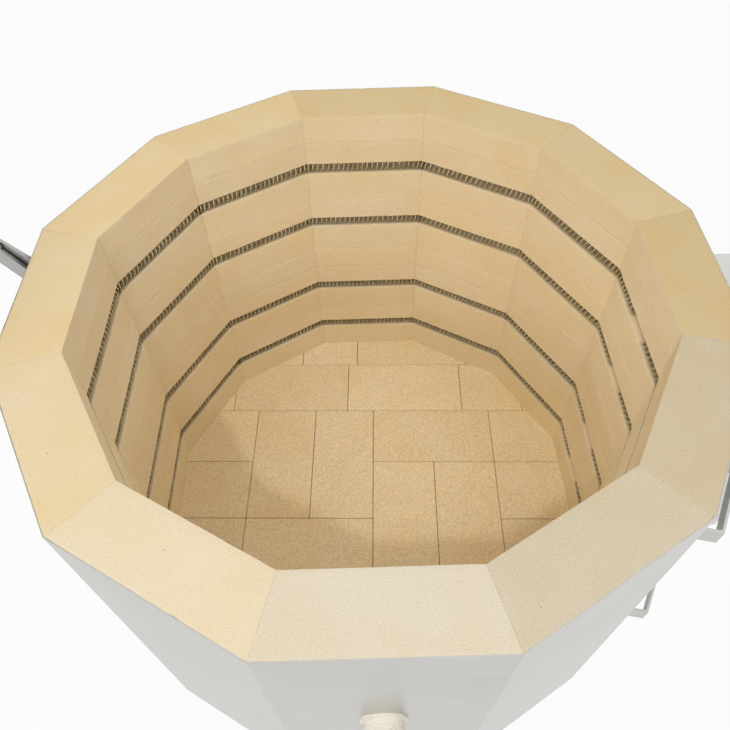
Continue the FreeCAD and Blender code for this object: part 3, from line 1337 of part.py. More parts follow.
def make_relays():
    """Relays on the left of the box and terminal blocks on its right, one of each to a ring."""
    for name, side, width, depth in (("relays", -1, "relay_width", "relay_depth"),
                                     ("terminal_blocks", 1, "block_width", "block_depth")):
        middle = f"{side} * terminal_side"
        back = "box_back + box_gauge"
        pieces = [box(f"{name}_case", (back, f"{back} + {depth}"),
                      (f"{middle} - {width} / 2", f"{middle} + {width} / 2"), centred("relay_height / 2"))]
        pieces += [rod(f"{name}_terminal", (f"{back} + {depth}", middle, height), "terminal_proud",
                       "terminal_diameter / 2", ALONG_X) for height in both("terminal_pitch / 2")]
        item = fuse(f"{name}_item", pieces)
        doc.recompute()
        copies(name, [(item.Shape, Placement(Vector(0, 0, value(f"{foot} + {BETWEEN_ROWS}")), Rotation()))
                      for foot in RINGS])


def make_leads():
    """A wire from each element connector to a relay or a terminal block."""
    start_x = value("connector_end")
    ahead = ALONG_X * value("lead_loop")
    leads = []
    for number, row_height in enumerate(ROWS):
        level = 2 * (number % 2) - 1
        terminal_height = value(f"{RINGS[number // 2]} + {BETWEEN_ROWS} + {level} * terminal_pitch / 2")
        for side, depth in ((-1, "relay_depth"), (1, "block_depth")):
            start = Vector(start_x, side * value("tail_line"), value(f"{row_height} - coil_drop"))
            face = value(f"box_back + box_gauge + {depth} + terminal_proud")
            end = Vector(face, side * value("terminal_side"), terminal_height)
            halfway = (start + end) * 0.5 + ahead * 1.3
            edges, radii = bent_route([start, start + ahead, halfway, end + ahead, end])
            leads.append((tube_along(edges, value("lead_diameter / 2")), Placement()))
            print("lead", number + 1, "arc radii", radii)
    copies("element_leads", leads)


def make_gland():
    """The cord gland under the box, with its nut inside."""
    foot = "box_low - gland_hex - gland_dome"
    length = "gland_hex + gland_dome + box_gauge + gland_nut + bolt_end"
    nut_foot = "box_low + box_gauge"
    hexagon = polygon_bar("gland_hexagon", 6, "gland_flats / 2", "box_low - gland_hex", "box_low")
    dome = rod("gland_cap", ("0", "0", foot), "gland_dome", "gland_bore / 2 + gland_lip",
               radius_end="gland_flats / 2")
    thread = rod("gland_thread_bar", ("0", "0", "box_low"), "box_gauge + gland_nut + bolt_end",
                 "gland_thread / 2")
    bore = rod("gland_bore_tool", ("0", "0", f"{foot} - 1"), f"{length} + 2", "gland_bore / 2")
    gland = cut("gland", fuse("gland_blank", [hexagon, dome, thread]), [bore])
    blank = polygon_bar("gland_nut_blank", 6, "gland_flats / 2", nut_foot, f"{nut_foot} + gland_nut")
    opening = rod("gland_nut_bore", ("0", "0", f"{nut_foot} - 1"), "gland_nut + 2",
                  "gland_thread / 2 + thread_play")
    nut = cut("gland_ring_nut", blank, [opening])
    doc.recompute()
    spot = Placement(Vector(value(GLAND_X), value("gland_side"), 0), Rotation())
    copies("cord_gland", [(gland.Shape, spot), (nut.Shape, spot)])


def make_thermocouple():
    """The sheathed probe through the wall, its head on the jacket, and its lead to the controller."""
    half = "sheath_head_width / 2"
    sheath = hole_x("sheath", "0", PROBE_HEIGHT, "sheath_diameter / 2", THERMOCOUPLE_PANEL,
                    "inner - sheath_reach", "skin")
    head = box("probe_head", ("skin", "skin + sheath_head"), centred(half),
               (f"{PROBE_HEIGHT} - {half}", f"{PROBE_HEIGHT} + {half}"), THERMOCOUPLE_PANEL)
    node(fuse("thermocouple", [sheath, head]))

    way = Rotation(UP, THERMOCOUPLE_PANEL)
    leave = way.multVec(Vector(value("skin + sheath_head / 2"), value(half), value(PROBE_HEIGHT)))
    first = leave + way.multVec(ALONG_Y) * 32
    side = -value("box_side")
    entry = Vector(value(PROBE_LEAD_X), side - 30, leave.z)
    inside = entry + ALONG_Y * 64
    board_back = value("box_front - board_depth - board_gauge")
    board = Vector(board_back, side * 0.3, value("face_middle - board_inset"))
    rise = UP * ((board.z - leave.z) / 4)
    route = [leave, first, (first + entry) * 0.5 + Vector(6, -9, -4), entry, inside,
             inside + rise + Vector(16, 21, 0), inside + rise * 2 + Vector(26, 34, 0),
             inside + rise * 3 + Vector(31, 28, 0), board - ALONG_X * 28, board]
    edges, radii = bent_route(route)
    print("thermocouple lead arc radii", radii)
    lead = doc.addObject("Part::Feature", "thermocouple_lead")
    lead.Shape = tube_along(edges, value("probe_lead_diameter / 2"))
    node(lead)


def check_and_write():
    """Stop on anything that failed to build, then write one file for each sub-part."""
    doc.recompute()
    failed = [thing.Name for thing in doc.Objects if {"Invalid", "Error"} & set(thing.State)]
    failed += [thing.Name for thing in nodes if thing.Shape.isNull() or not thing.Shape.isValid()]
    if failed:
        raise RuntimeError(f"these did not build: {failed}")
    os.makedirs("parts", exist_ok=True)
    for thing in nodes:
        thing.Shape.exportStep(f"parts/{thing.Label}.step")
    print(len(nodes), "sub-parts,", sum(len(thing.Shape.Solids) for thing in nodes), "solids")


make_stand()
make_floor()
make_walls()
make_elements()
make_jackets()
make_clamps()
make_handles()
make_peepholes()
make_lid()
make_hinge()
make_box()
make_box_fasteners()
make_controller()
make_switch()
make_relays()
make_leads()
make_gland()
make_thermocouple()
check_and_write()
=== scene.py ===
"""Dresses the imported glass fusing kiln: brickwork, heating coils, metalwork, control box and studio.

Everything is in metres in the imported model's frame. The Z axis runs up the middle of the chamber, the
front is towards -Y, the control box is on +X and the lid hinges on -X.
"""

import functools
import logging
import math
from dataclasses import dataclass
from enum import Enum

import bmesh
import bpy
import numpy as np
from mathutils import Matrix, Vector


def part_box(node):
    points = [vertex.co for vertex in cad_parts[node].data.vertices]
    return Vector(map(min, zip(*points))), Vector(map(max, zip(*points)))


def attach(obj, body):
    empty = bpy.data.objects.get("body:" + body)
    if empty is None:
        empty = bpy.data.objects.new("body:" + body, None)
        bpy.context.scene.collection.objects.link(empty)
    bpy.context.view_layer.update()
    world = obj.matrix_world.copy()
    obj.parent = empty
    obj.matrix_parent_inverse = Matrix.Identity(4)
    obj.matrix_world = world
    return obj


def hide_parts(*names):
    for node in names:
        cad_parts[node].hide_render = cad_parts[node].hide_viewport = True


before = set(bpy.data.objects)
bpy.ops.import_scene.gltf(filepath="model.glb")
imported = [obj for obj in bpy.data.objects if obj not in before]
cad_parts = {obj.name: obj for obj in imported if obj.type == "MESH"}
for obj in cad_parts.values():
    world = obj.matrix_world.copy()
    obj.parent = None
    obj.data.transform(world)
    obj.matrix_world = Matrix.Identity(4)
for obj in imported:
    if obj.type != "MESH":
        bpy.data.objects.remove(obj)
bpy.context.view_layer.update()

LOG = logging.getLogger("kiln")
MM = 0.001
UP = np.array([0.0, 0.0, 1.0])
PANELS = 12
PANEL_TURN = math.radians(360 / PANELS)
HALF_TURN = PANEL_TURN / 2
COIL_LINE = 359.87 * MM
LAMP_DISTANCE = 3.2
QUARTER_POINTS = 4
NOISE_SPAN = (0.3, 0.7)
RENDER_WIDTH = 730
RENDER_HEIGHT = 730
LATTICE_VALUES = 4096
LATTICE_PRIMES = np.array([73856093, 19349663, 83492791])

Triple = tuple[float, float, float]
Socket = bpy.types.NodeSocket


class Body(Enum):
    """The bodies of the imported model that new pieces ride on."""

    KILN = "kiln"
    LID = "lid"
    UP_KEY = "up_key"
    DOWN_KEY = "down_key"


class Panel(Enum):
    """The wall panels that have something special on them, by the turn of their middle in degrees."""

    BOX = 0
    FRONT = -90
    PROBE = -30

    @property
    def number(self) -> int:
        """The panel's number in the ring, counted from the control box's."""
        return self.value % 360 * PANELS // 360


# shapes

def eased(part: np.ndarray) -> np.ndarray:
    """Bend a straight rise from 0 to 1 so that it starts and ends level."""
    return part * part * (3 - 2 * part)


def lattice_noise(points: np.ndarray, cell: float, seed: int) -> np.ndarray:
    """Smooth noise between 0 and 1: random values on a cubic lattice, blended over the eight corners.

    Args:
        points: an array whose last axis is x, y, z.
        cell: size of a lattice cell in metres.
        seed: picks the random values.

    Returns:
        One value for each point.
    """
    table = np.random.default_rng(seed).random(LATTICE_VALUES)
    spot = points / cell
    low = np.floor(spot)
    part = eased(spot - low)
    whole = low.astype(np.int64)
    total = np.zeros(points.shape[:-1])
    for corner in range(8):
        step = np.array([corner & 1, corner >> 1 & 1, corner >> 2])
        key = ((whole + step) * LATTICE_PRIMES).sum(-1) & (LATTICE_VALUES - 1)
        total += table[key] * np.prod(np.where(step == 1, part, 1 - part), axis=-1)
    return total


def circle(radius: float, sides: int) -> np.ndarray:
    """Points of a circle as a closed outline."""
    way = np.arange(sides) * 2 * math.pi / sides
    return np.stack([np.cos(way), np.sin(way)], -1) * radius


def turned(out: np.ndarray | float, side: np.ndarray | float, height: np.ndarray,
           turn: np.ndarray | float) -> np.ndarray:
    """Points given by a panel's own directions, turned about the kiln's axis.

    Args:
        out: distances out from the axis.
        side: distances along the panel, counter-clockwise.
        height: heights, with the full shape of the result.
        turn: the panel's turn in radians.

    Returns:
        An array whose last axis is x, y, z.
    """
    return np.stack([out * np.cos(turn) - side * np.sin(turn), out * np.sin(turn) + side * np.cos(turn),
                     height], -1)


def new_object(name: str, data: bpy.types.ID) -> bpy.types.Object:
    """Put a mesh, lamp or camera into a new object at the origin."""
    piece = bpy.data.objects.new(name, data)
    bpy.context.scene.collection.objects.link(piece)
    return piece


def new_piece(name: str, shape: bmesh.types.BMesh) -> bpy.types.Object:
    """Turn an edited mesh into a new object, and free it."""
    mesh = bpy.data.meshes.new(name)
    shape.to_mesh(mesh)
    shape.free()
    return new_object(name, mesh)


def tube_piece(name: str, tubes: np.ndarray, layers: dict[str, np.ndarray] | None = None,
               far_end: bool = True) -> bpy.types.Object:
    """Put tubes with closed ends into one new mesh object at the origin.

    Args:
        name: the object's name.
        tubes: tubes by rows by columns by 3 positions in metres, each row a closed ring.
        layers: named numbers for each point, kept as attributes of the mesh.
        far_end: close the last ring of each tube as well as the first.

    Returns:
        The object, with its faces turned outwards.
    """
    rows, columns = tubes.shape[1:3]
    starts = np.arange(len(tubes)) * rows * columns
    ring = np.arange(columns)
    following = (ring + 1) % columns
    row = np.arange(rows - 1)[:, None] * columns
    quads = np.stack([row + ring, row + following, row + columns + following, row + columns + ring], -1)
    quads = (quads.reshape(-1, 4) + starts[:, None, None]).reshape(-1, 4)
    ends = (ring[::-1], ring + (rows - 1) * columns) if far_end else (ring,)
    caps = [(end + start).tolist() for start in starts for end in ends]
    mesh = bpy.data.meshes.new(name)
    mesh.from_pydata(tubes.reshape(-1, 3).tolist(), [], quads.tolist() + caps)
    for layer, values in (layers or {}).items():
        attribute = mesh.attributes.new(layer, "FLOAT", "POINT")
        attribute.data.foreach_set("value", values.reshape(-1).astype(np.float32))
    shape = bmesh.new()
    shape.from_mesh(mesh)
    bmesh.ops.recalc_face_normals(shape, faces=shape.faces)
    shape.to_mesh(mesh)
    shape.free()
    return new_object(name, mesh)


def swept(name: str, line: np.ndarray, outward: np.ndarray, section: np.ndarray) -> bpy.types.Object:
    """A section carried along a line, with closed ends.

    Point (i, j) is line[i] + across[i] * section[j, 0] + over[i] * section[j, 1], where across is the
    outward way made square to the line's direction, and over is square to both.

    Args:
        name: the object's name.
        line: n by 3 points of the middle line.
        outward: n by 3 ways that the section's first axis leans to.
        section: k by 2 closed outline.

    Returns:
        The tube's object.
    """
    along = np.gradient(line, axis=0)
    along /= np.linalg.norm(along, axis=1, keepdims=True)
    across = outward - along * (outward * along).sum(1, keepdims=True)
    across /= np.linalg.norm(across, axis=1, keepdims=True)
    over = np.cross(along, across)
    points = line[:, None] + across[:, None] * section[None, :, :1] + over[:, None] * section[None, :, 1:]
    return tube_piece(name, points[None])


def smooth_shading(piece: bpy.types.Object, limit: float) -> None:
    """Shade smooth, but keep edges sharper than the limit in degrees crisp."""
    piece.data.polygons.foreach_set("use_smooth", np.ones(len(piece.data.polygons), bool))
    piece.data.set_sharp_from_angle(angle=math.radians(limit))


def settle(piece: bpy.types.Object) -> None:
    """Replace a piece's mesh by what its modifiers make of it, and drop the modifiers."""
    ready = piece.evaluated_get(bpy.context.evaluated_depsgraph_get())
    mesh = bpy.data.meshes.new_from_object(ready)
    piece.modifiers.clear()
    piece.data = mesh


# shader nodes

def linear(colour: str) -> tuple[float, float, float, float]:
    """Turn an sRGB hex colour into a linear RGBA value.

    Args:
        colour: six hex digits, red first.

    Returns:
        Linear red, green, blue and an alpha of one.
    """
    parts = [int(colour[place:place + 2], 16) / 255 for place in (0, 2, 4)]
    straight = [part / 12.92 if part <= 0.04045 else ((part + 0.055) / 1.055) ** 2.4 for part in parts]
    return (*straight, 1.0)


def per_metre(size: float) -> float:
    """Scale of a texture whose features are this many millimetres across."""
    return 1000 / size


class NodeSheet:
    """The nodes of a material or world, with short ways to add those that most of them need."""

    def __init__(self, owner: bpy.types.ID) -> None:
        """Start with an empty node tree.

        Args:
            owner: the material or world.
        """
        self.owner = owner
        owner.use_nodes = True
        owner.node_tree.nodes.clear()

    def add(self, kind: str, inputs: dict | None = None, output: int | str = 0,
            **settings) -> Socket | None:
        """Add a shader node with its settings, values and links.

        Args:
            kind: Blender's name of the node type, less "ShaderNode".
            inputs: values or output sockets, by the name or number of the input.
            output: the output to return.
            **settings: attributes of the node.

        Returns:
            The output's socket, or None for a node without outputs.
        """
        tree = self.owner.node_tree
        node = tree.nodes.new("ShaderNode" + kind)
        for name, setting in settings.items():
            setattr(node, name, setting)
        for name, given in (inputs or {}).items():
            if isinstance(given, Socket):
                tree.links.new(given, node.inputs[name])
            else:
                node.inputs[name].default_value = given
        return node.outputs[output] if node.outputs else None

    @functools.cached_property
    def place(self) -> Socket:
        """Where the surface is, in object coordinates."""
        return self.add("TexCoord", output="Object")

    def attribute(self, name: str) -> Socket:
        """A number that the mesh keeps for each point."""
        return self.add("Attribute", output="Fac", attribute_name=name)

    def noise(self, size: float, detail: float, roughness: float = 0.5) -> Socket:
        """Noise whose features are this many millimetres across."""
        return self.add("TexNoise", {"Vector": self.place, "Scale": per_metre(size), "Detail": detail,
                                     "Roughness": roughness})

    def spread(self, value: Socket, low: float, high: float, start: float = 0.0, end: float = 1.0) -> Socket:
        """Map a value from the range start to end onto low to high, and clamp it."""
        return self.add("MapRange", {"Value": value, "From Min": start, "From Max": end, "To Min": low,
                                     "To Max": high})

    def combined(self, operation: str, first: Socket, second: Socket | float) -> Socket:
        """Two numbers put together by an operation of Blender's Math node."""
        return self.add("Math", {0: first, 1: second}, operation=operation)

    def ramp(self, factor: Socket, *stops: tuple[float, str]) -> Socket:
        """A colour ramp with two stops, each a position and a hex colour, lowest first."""
        colour = self.add("ValToRGB", {"Fac": factor})
        for stop, (position, shade) in zip(colour.node.color_ramp.elements, stops):
            stop.position = position
            stop.color = linear(shade)
        return colour

    def shaded(self, colour: Socket | Triple, shade: Socket) -> Socket:
        """A colour multiplied by a number."""
        return self.add("VectorMath", {0: colour, "Scale": shade}, operation="SCALE")

    def bump(self, height: Socket, strength: float, depth: float) -> Socket:
        """A relief as many millimetres deep as given."""
        return self.add("Bump", {"Height": height, "Strength": strength, "Distance": depth * MM})

    def unlit_rays(self) -> Socket:
        """One for rays from the camera, gloss and glass, and nought for the rest."""
        rays = self.add("LightPath").node.outputs
        seen = self.combined("MAXIMUM", rays["Is Camera Ray"], rays["Is Glossy Ray"])
        return self.combined("MAXIMUM", seen, rays["Is Transmission Ray"])


# finishes

@dataclass(frozen=True)
class Finish:
    """What a piece is made of and how its surface was made."""

    label: str

    def layers(self, sheet: NodeSheet) -> dict:
        """Add the nodes that are the finish's own.

        Args:
            sheet: the material's nodes.

        Returns:
            Values and links for the principled shader, by input.
        """
        raise NotImplementedError

    @functools.cache
    def material(self) -> bpy.types.Material:
        """Build the material the first time it is asked for."""
        sheet = NodeSheet(bpy.data.materials.new(self.label))
        shader = sheet.add("BsdfPrincipled", self.layers(sheet))
        sheet.add("OutputMaterial", {"Surface": shader})
        return sheet.owner


@dataclass(frozen=True)
class Firebrick(Finish):
    """Insulating firebrick: clay fired with a filler that burns out, then sawn and sanded.

    Chalky and matt, pale cream with soft straw clouds, a sandy grain and fine open pores. Each brick is a
    little lighter, darker or warmer than the next.
    """

    pale: str = "F1E7D2"
    straw: str = "E9CE97"
    pore_shade: str = "B9A47A"
    cloud_mm: float = 85
    cloud: float = 0.12
    grain_mm: float = 1.8
    speckle: float = 0.12
    lightness: float = 0.985
    pore_mm: float = 13
    pore_above: float = 0.7
    pore_edge: tuple[float, float] = (0.03, 0.08)

    def layers(self, sheet: NodeSheet) -> dict:
        """Clouds, warmth and grain in the colour, pores darkened in the colour as painted shade and cut in as
        a bump, tone from each brick.
        """
        clouds = sheet.noise(self.cloud_mm, 3.0, 0.55)
        grain = sheet.noise(self.grain_mm, 3.0, 0.7)
        distance = sheet.add("TexVoronoi", {"Vector": sheet.place, "Scale": per_metre(self.pore_mm)})
        chosen = sheet.combined("GREATER_THAN", distance.node.outputs["Color"], self.pore_above)
        pit = sheet.combined("MULTIPLY", chosen, sheet.spread(distance, 1.0, 0.0, *self.pore_edge))
        drift = sheet.spread(clouds, -self.cloud, self.cloud, *NOISE_SPAN)
        # The warmth attribute carries each brick's own warmth, and on the rim's top it carries painted light
        # that is cooler towards the front.
        warmth = sheet.combined("ADD", sheet.attribute("warmth"), drift)
        colour = sheet.ramp(warmth, (0.0, self.pale), (1.0, self.straw))
        low, high = self.lightness - self.speckle, self.lightness + self.speckle
        speckle = sheet.spread(grain, low, high, *NOISE_SPAN)
        # The tone attribute carries each brick's own tone, the painted shade in the grooves and the painted
        # light on the rim's top.
        shade = sheet.combined("ADD", speckle, sheet.attribute("tone"))
        # The pits take the darker pore colour: painted shade inside the pores.
        pitted = sheet.add("Mix", {"Factor": pit, 6: sheet.shaded(colour, shade), 7: linear(self.pore_shade)}, 2,
                           data_type="RGBA")
        relief = sheet.combined("SUBTRACT", grain, pit)
        return {"Base Color": pitted, "Roughness": 0.94, "Normal": sheet.bump(relief, 0.4, 0.5),
                "Specular IOR Level": 0.2}


@dataclass(frozen=True)
class ElementWire(Finish):
    """Iron-chromium-aluminium resistance wire, drawn and wound, after its first firings.

    The oxide skin turns it a dry khaki grey with darker patches and takes most of its shine.
    """

    fresh: str = "E0D3AE"
    burnt: str = "B09F78"
    patch_mm: float = 14

    def layers(self, sheet: NodeSheet) -> dict:
        """Patches of darker oxide along the wire."""
        colour = sheet.ramp(sheet.noise(self.patch_mm, 2.0), (0.35, self.burnt), (0.6, self.fresh))
        return {"Base Color": colour, "Metallic": 0.35, "Roughness": 0.45}


@dataclass(frozen=True)
class BrushedSteel(Finish):
    """Ferritic stainless sheet, rolled and brushed along its length.

    The brushing gives fine level lines, a soft wide gleam and faint handling clouds.
    """

    colour: str = "C6C5C1"
    rough: float = 0.34
    line_mm: float = 1.4
    along_per_metre: float = 6.0
    cloud: float = 0.05
    cloud_mm: float = 120

    def layers(self, sheet: NodeSheet) -> dict:
        """Noise drawn out along the brushing, in roughness and bump, with faint clouds."""
        stretch = (self.along_per_metre, self.along_per_metre, per_metre(self.line_mm))
        drawn = sheet.add("Mapping", {"Vector": sheet.place, "Scale": stretch})
        lines = sheet.add("TexNoise", {"Vector": drawn, "Scale": 1.0, "Detail": 2.0})
        shade = sheet.spread(sheet.noise(self.cloud_mm, 2.0), 1 - self.cloud, 1.0, *NOISE_SPAN)
        rough = sheet.spread(lines, self.rough - 0.05, self.rough + 0.08, *NOISE_SPAN)
        return {"Base Color": sheet.shaded(linear(self.colour)[:3], shade), "Metallic": 1.0,
                "Roughness": rough, "Normal": sheet.bump(lines, 0.25, 0.05)}


@dataclass(frozen=True)
class Painted(Finish):
    """Sprayed and baked enamel or powder coat on steel: an even colour with a fine orange peel."""

    colour: str
    rough: float
    peel_mm: float
    cloud_mm: float = 90

    def layers(self, sheet: NodeSheet) -> dict:
        """Orange peel as a bump, with a slight cloud in the colour."""
        shade = sheet.spread(sheet.noise(self.cloud_mm, 2.0), 0.9, 1.1)
        return {"Base Color": sheet.shaded(linear(self.colour)[:3], shade), "Roughness": self.rough,
                "Normal": sheet.bump(sheet.noise(self.peel_mm, 1.0), 0.35, 0.12)}


@dataclass(frozen=True)
class PlatedSteel(Finish):
    """Zinc plated steel: pressed or turned, dipped and passivated, with a faint spangle."""

    colour: str = "B9BBBD"
    rough: float = 0.3
    spangle_mm: float = 3

    def layers(self, sheet: NodeSheet) -> dict:
        """A spangle of small cells in the roughness."""
        cells = {"Vector": sheet.place, "Scale": per_metre(self.spangle_mm)}
        rough = sheet.spread(sheet.add("TexVoronoi", cells, "Color"), self.rough - 0.07, self.rough + 0.1)
        return {"Base Color": linear(self.colour), "Metallic": 1.0, "Roughness": rough}


@dataclass(frozen=True)
class Ceramic(Finish):
    """Pressed and fired refractory ceramic: off-white, dense and matt with a fine sandy skin."""

    colour: str
    speck: str
    rough: float
    grain_mm: float = 1.5

    def layers(self, sheet: NodeSheet) -> dict:
        """A fine speckle in colour and bump."""
        grain = sheet.noise(self.grain_mm, 3.0)
        return {"Base Color": sheet.ramp(grain, (0.35, self.speck), (0.5, self.colour)),
                "Roughness": self.rough, "Normal": sheet.bump(grain, 0.3, 0.15)}


@dataclass(frozen=True)
class Plastic(Finish):
    """Injection moulded plastic with a spark-eroded texture from the mould."""

    colour: str
    rough: float
    grain_mm: float = 0.7

    def layers(self, sheet: NodeSheet) -> dict:
        """The mould's grain as a bump and in the roughness."""
        grain = sheet.noise(self.grain_mm, 2.0)
        return {"Base Color": linear(self.colour), "Normal": sheet.bump(grain, 0.2, 0.05),
                "Roughness": sheet.spread(grain, self.rough - 0.08, self.rough + 0.08)}


@dataclass(frozen=True)
class Braid(Finish):
    """Glass fibre sleeving, braided over the wire and varnished: a fine diagonal weave."""

    colour: str = "D9D2BE"
    shade: str = "A89E86"
    strand_mm: float = 1.2

    def layers(self, sheet: NodeSheet) -> dict:
        """Crossed bands stand for the strands, coarse enough to show."""
        weave = sheet.add("TexChecker", {"Vector": sheet.place, "Scale": per_metre(self.strand_mm)}, "Fac")
        return {"Base Color": sheet.ramp(weave, (0.0, self.shade), (1.0, self.colour)), "Roughness": 0.6,
                "Normal": sheet.bump(weave, 0.4, 0.1)}


@dataclass(frozen=True)
class SmokedWindow(Finish):
    """Cast acrylic sheet, dyed deep red and polished, as over a lamp display."""

    colour: str = "3A0B0C"
    wipe_mm: float = 9

    def layers(self, sheet: NodeSheet) -> dict:
        """Dark, smooth and glossy, with faint wiping marks."""
        return {"Base Color": linear(self.colour),
                "Roughness": sheet.spread(sheet.noise(self.wipe_mm, 3.0), 0.03, 0.12)}


BRICK = Firebrick("insulating_firebrick")
RIM_BRICK = Firebrick("sanded_insulating_firebrick", speckle=0.09)
FLOOR_BRICK = Firebrick("coarse_insulating_firebrick", grain_mm=3.0, speckle=0.2)
WIRE = ElementWire("oxidised_element_wire")
JACKET = BrushedSteel("brushed_stainless_sheet")
FRAME_PAINT = Painted("black_enamelled_angle_iron", "26272A", 0.45, 2.2)
BOX_PAINT = Painted("white_powder_coat", "E8E9E7", 0.5, 1.3)
FACE_PAINT = Painted("screen_printed_overlay", "17191C", 0.4, 0.8)
PAN_STEEL = BrushedSteel("galvanised_floor_sheet", "AEB1B2", 0.42, 2.5)
STRAP_STEEL = BrushedSteel("tumbled_stainless_strap", "C9C8C4", 0.4, 1.0)
HINGE_STEEL = BrushedSteel("brushed_steel_plate", "B4B4B2", 0.38, 1.0)
SCREW_STEEL = PlatedSteel("zinc_plated_screw")
BOLT_STEEL = PlatedSteel("zinc_plated_bolt", "A9ABAD", 0.36)
PIN_STEEL = PlatedSteel("ground_steel_pin", "C2C4C6", 0.2)
PORCELAIN = Ceramic("glazed_porcelain_tube", "EFEBDF", "DCD4C0", 0.35)
PLUG_CLAY = Ceramic("pressed_ceramic_plug", "EEE9DE", "DAD2C1", 0.8)
GLAND_NYLON = Plastic("black_nylon", "1B1C1E", 0.45)
KEY_RUBBER = Plastic("grey_key_rubber", "8F9498", 0.6)
ROCKER_PLASTIC = Plastic("black_rocker_plastic", "141517", 0.3)
RELAY_PLASTIC = Plastic("black_relay_case", "222326", 0.5)
BLOCK_PLASTIC = Plastic("brown_phenolic_block", "4A2E20", 0.55)
BOARD_LAMINATE = Plastic("green_board_laminate", "1F5A3A", 0.35)
SLEEVE = Braid("braided_glass_sleeve")
PROBE_SLEEVE = Braid("braided_probe_sleeve", "D8C26E", "A88F3E")
WINDOW = SmokedWindow("smoked_acrylic")
MARK = Painted("white_marking_ink", "E8E8E4", 0.5, 1.0)


def dress(piece: bpy.types.Object, finish: Finish) -> None:
    """Give a piece one finish."""
    piece.data.materials.clear()
    piece.data.materials.append(finish.material())


def dress_nodes(finish: Finish, *names: str) -> None:
    """Give CAD nodes one finish and say so in the log."""
    for name in names:
        dress(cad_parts[name], finish)
        LOG.info("%s: %s", name, finish.label)


def seat(piece: bpy.types.Object, body: Body, finish: Finish, *replaced: str) -> None:
    """Dress a new piece, let it ride on a body and stand for CAD nodes.

    Args:
        piece: the new piece.
        body: what it moves with.
        finish: what it is made of.
        *replaced: the CAD nodes that it stands for.
    """
    dress(piece, finish)
    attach(piece, body.value)
    if replaced:
        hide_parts(*replaced)
    LOG.info("%s: %s, %d faces", piece.name, finish.label, len(piece.data.polygons))


# brickwork

@dataclass(frozen=True)
class Drilling:
    """A straight or tapered hole through the wall, seen from the kiln's middle along its panel's way."""

    panel: Panel
    side: float
    height: float
    start: float
    inside: float
    outside: float
    end: float = 440.0 * MM
    sides: int = 32

    def cutter(self) -> bpy.types.Object:
        """A rod of two radii from the start to past the wall, as a boolean's tool."""
        ring = circle(1.0, self.sides)
        radii = np.array([[self.inside], [self.outside]])
        reach = np.array([[self.start], [self.end]]) + 0 * ring[:, 0]
        rod = turned(reach, self.side + radii * ring[:, 0], self.height + radii * ring[:, 1],
                     math.radians(self.panel.value))
        return tube_piece("drill", rod[None])


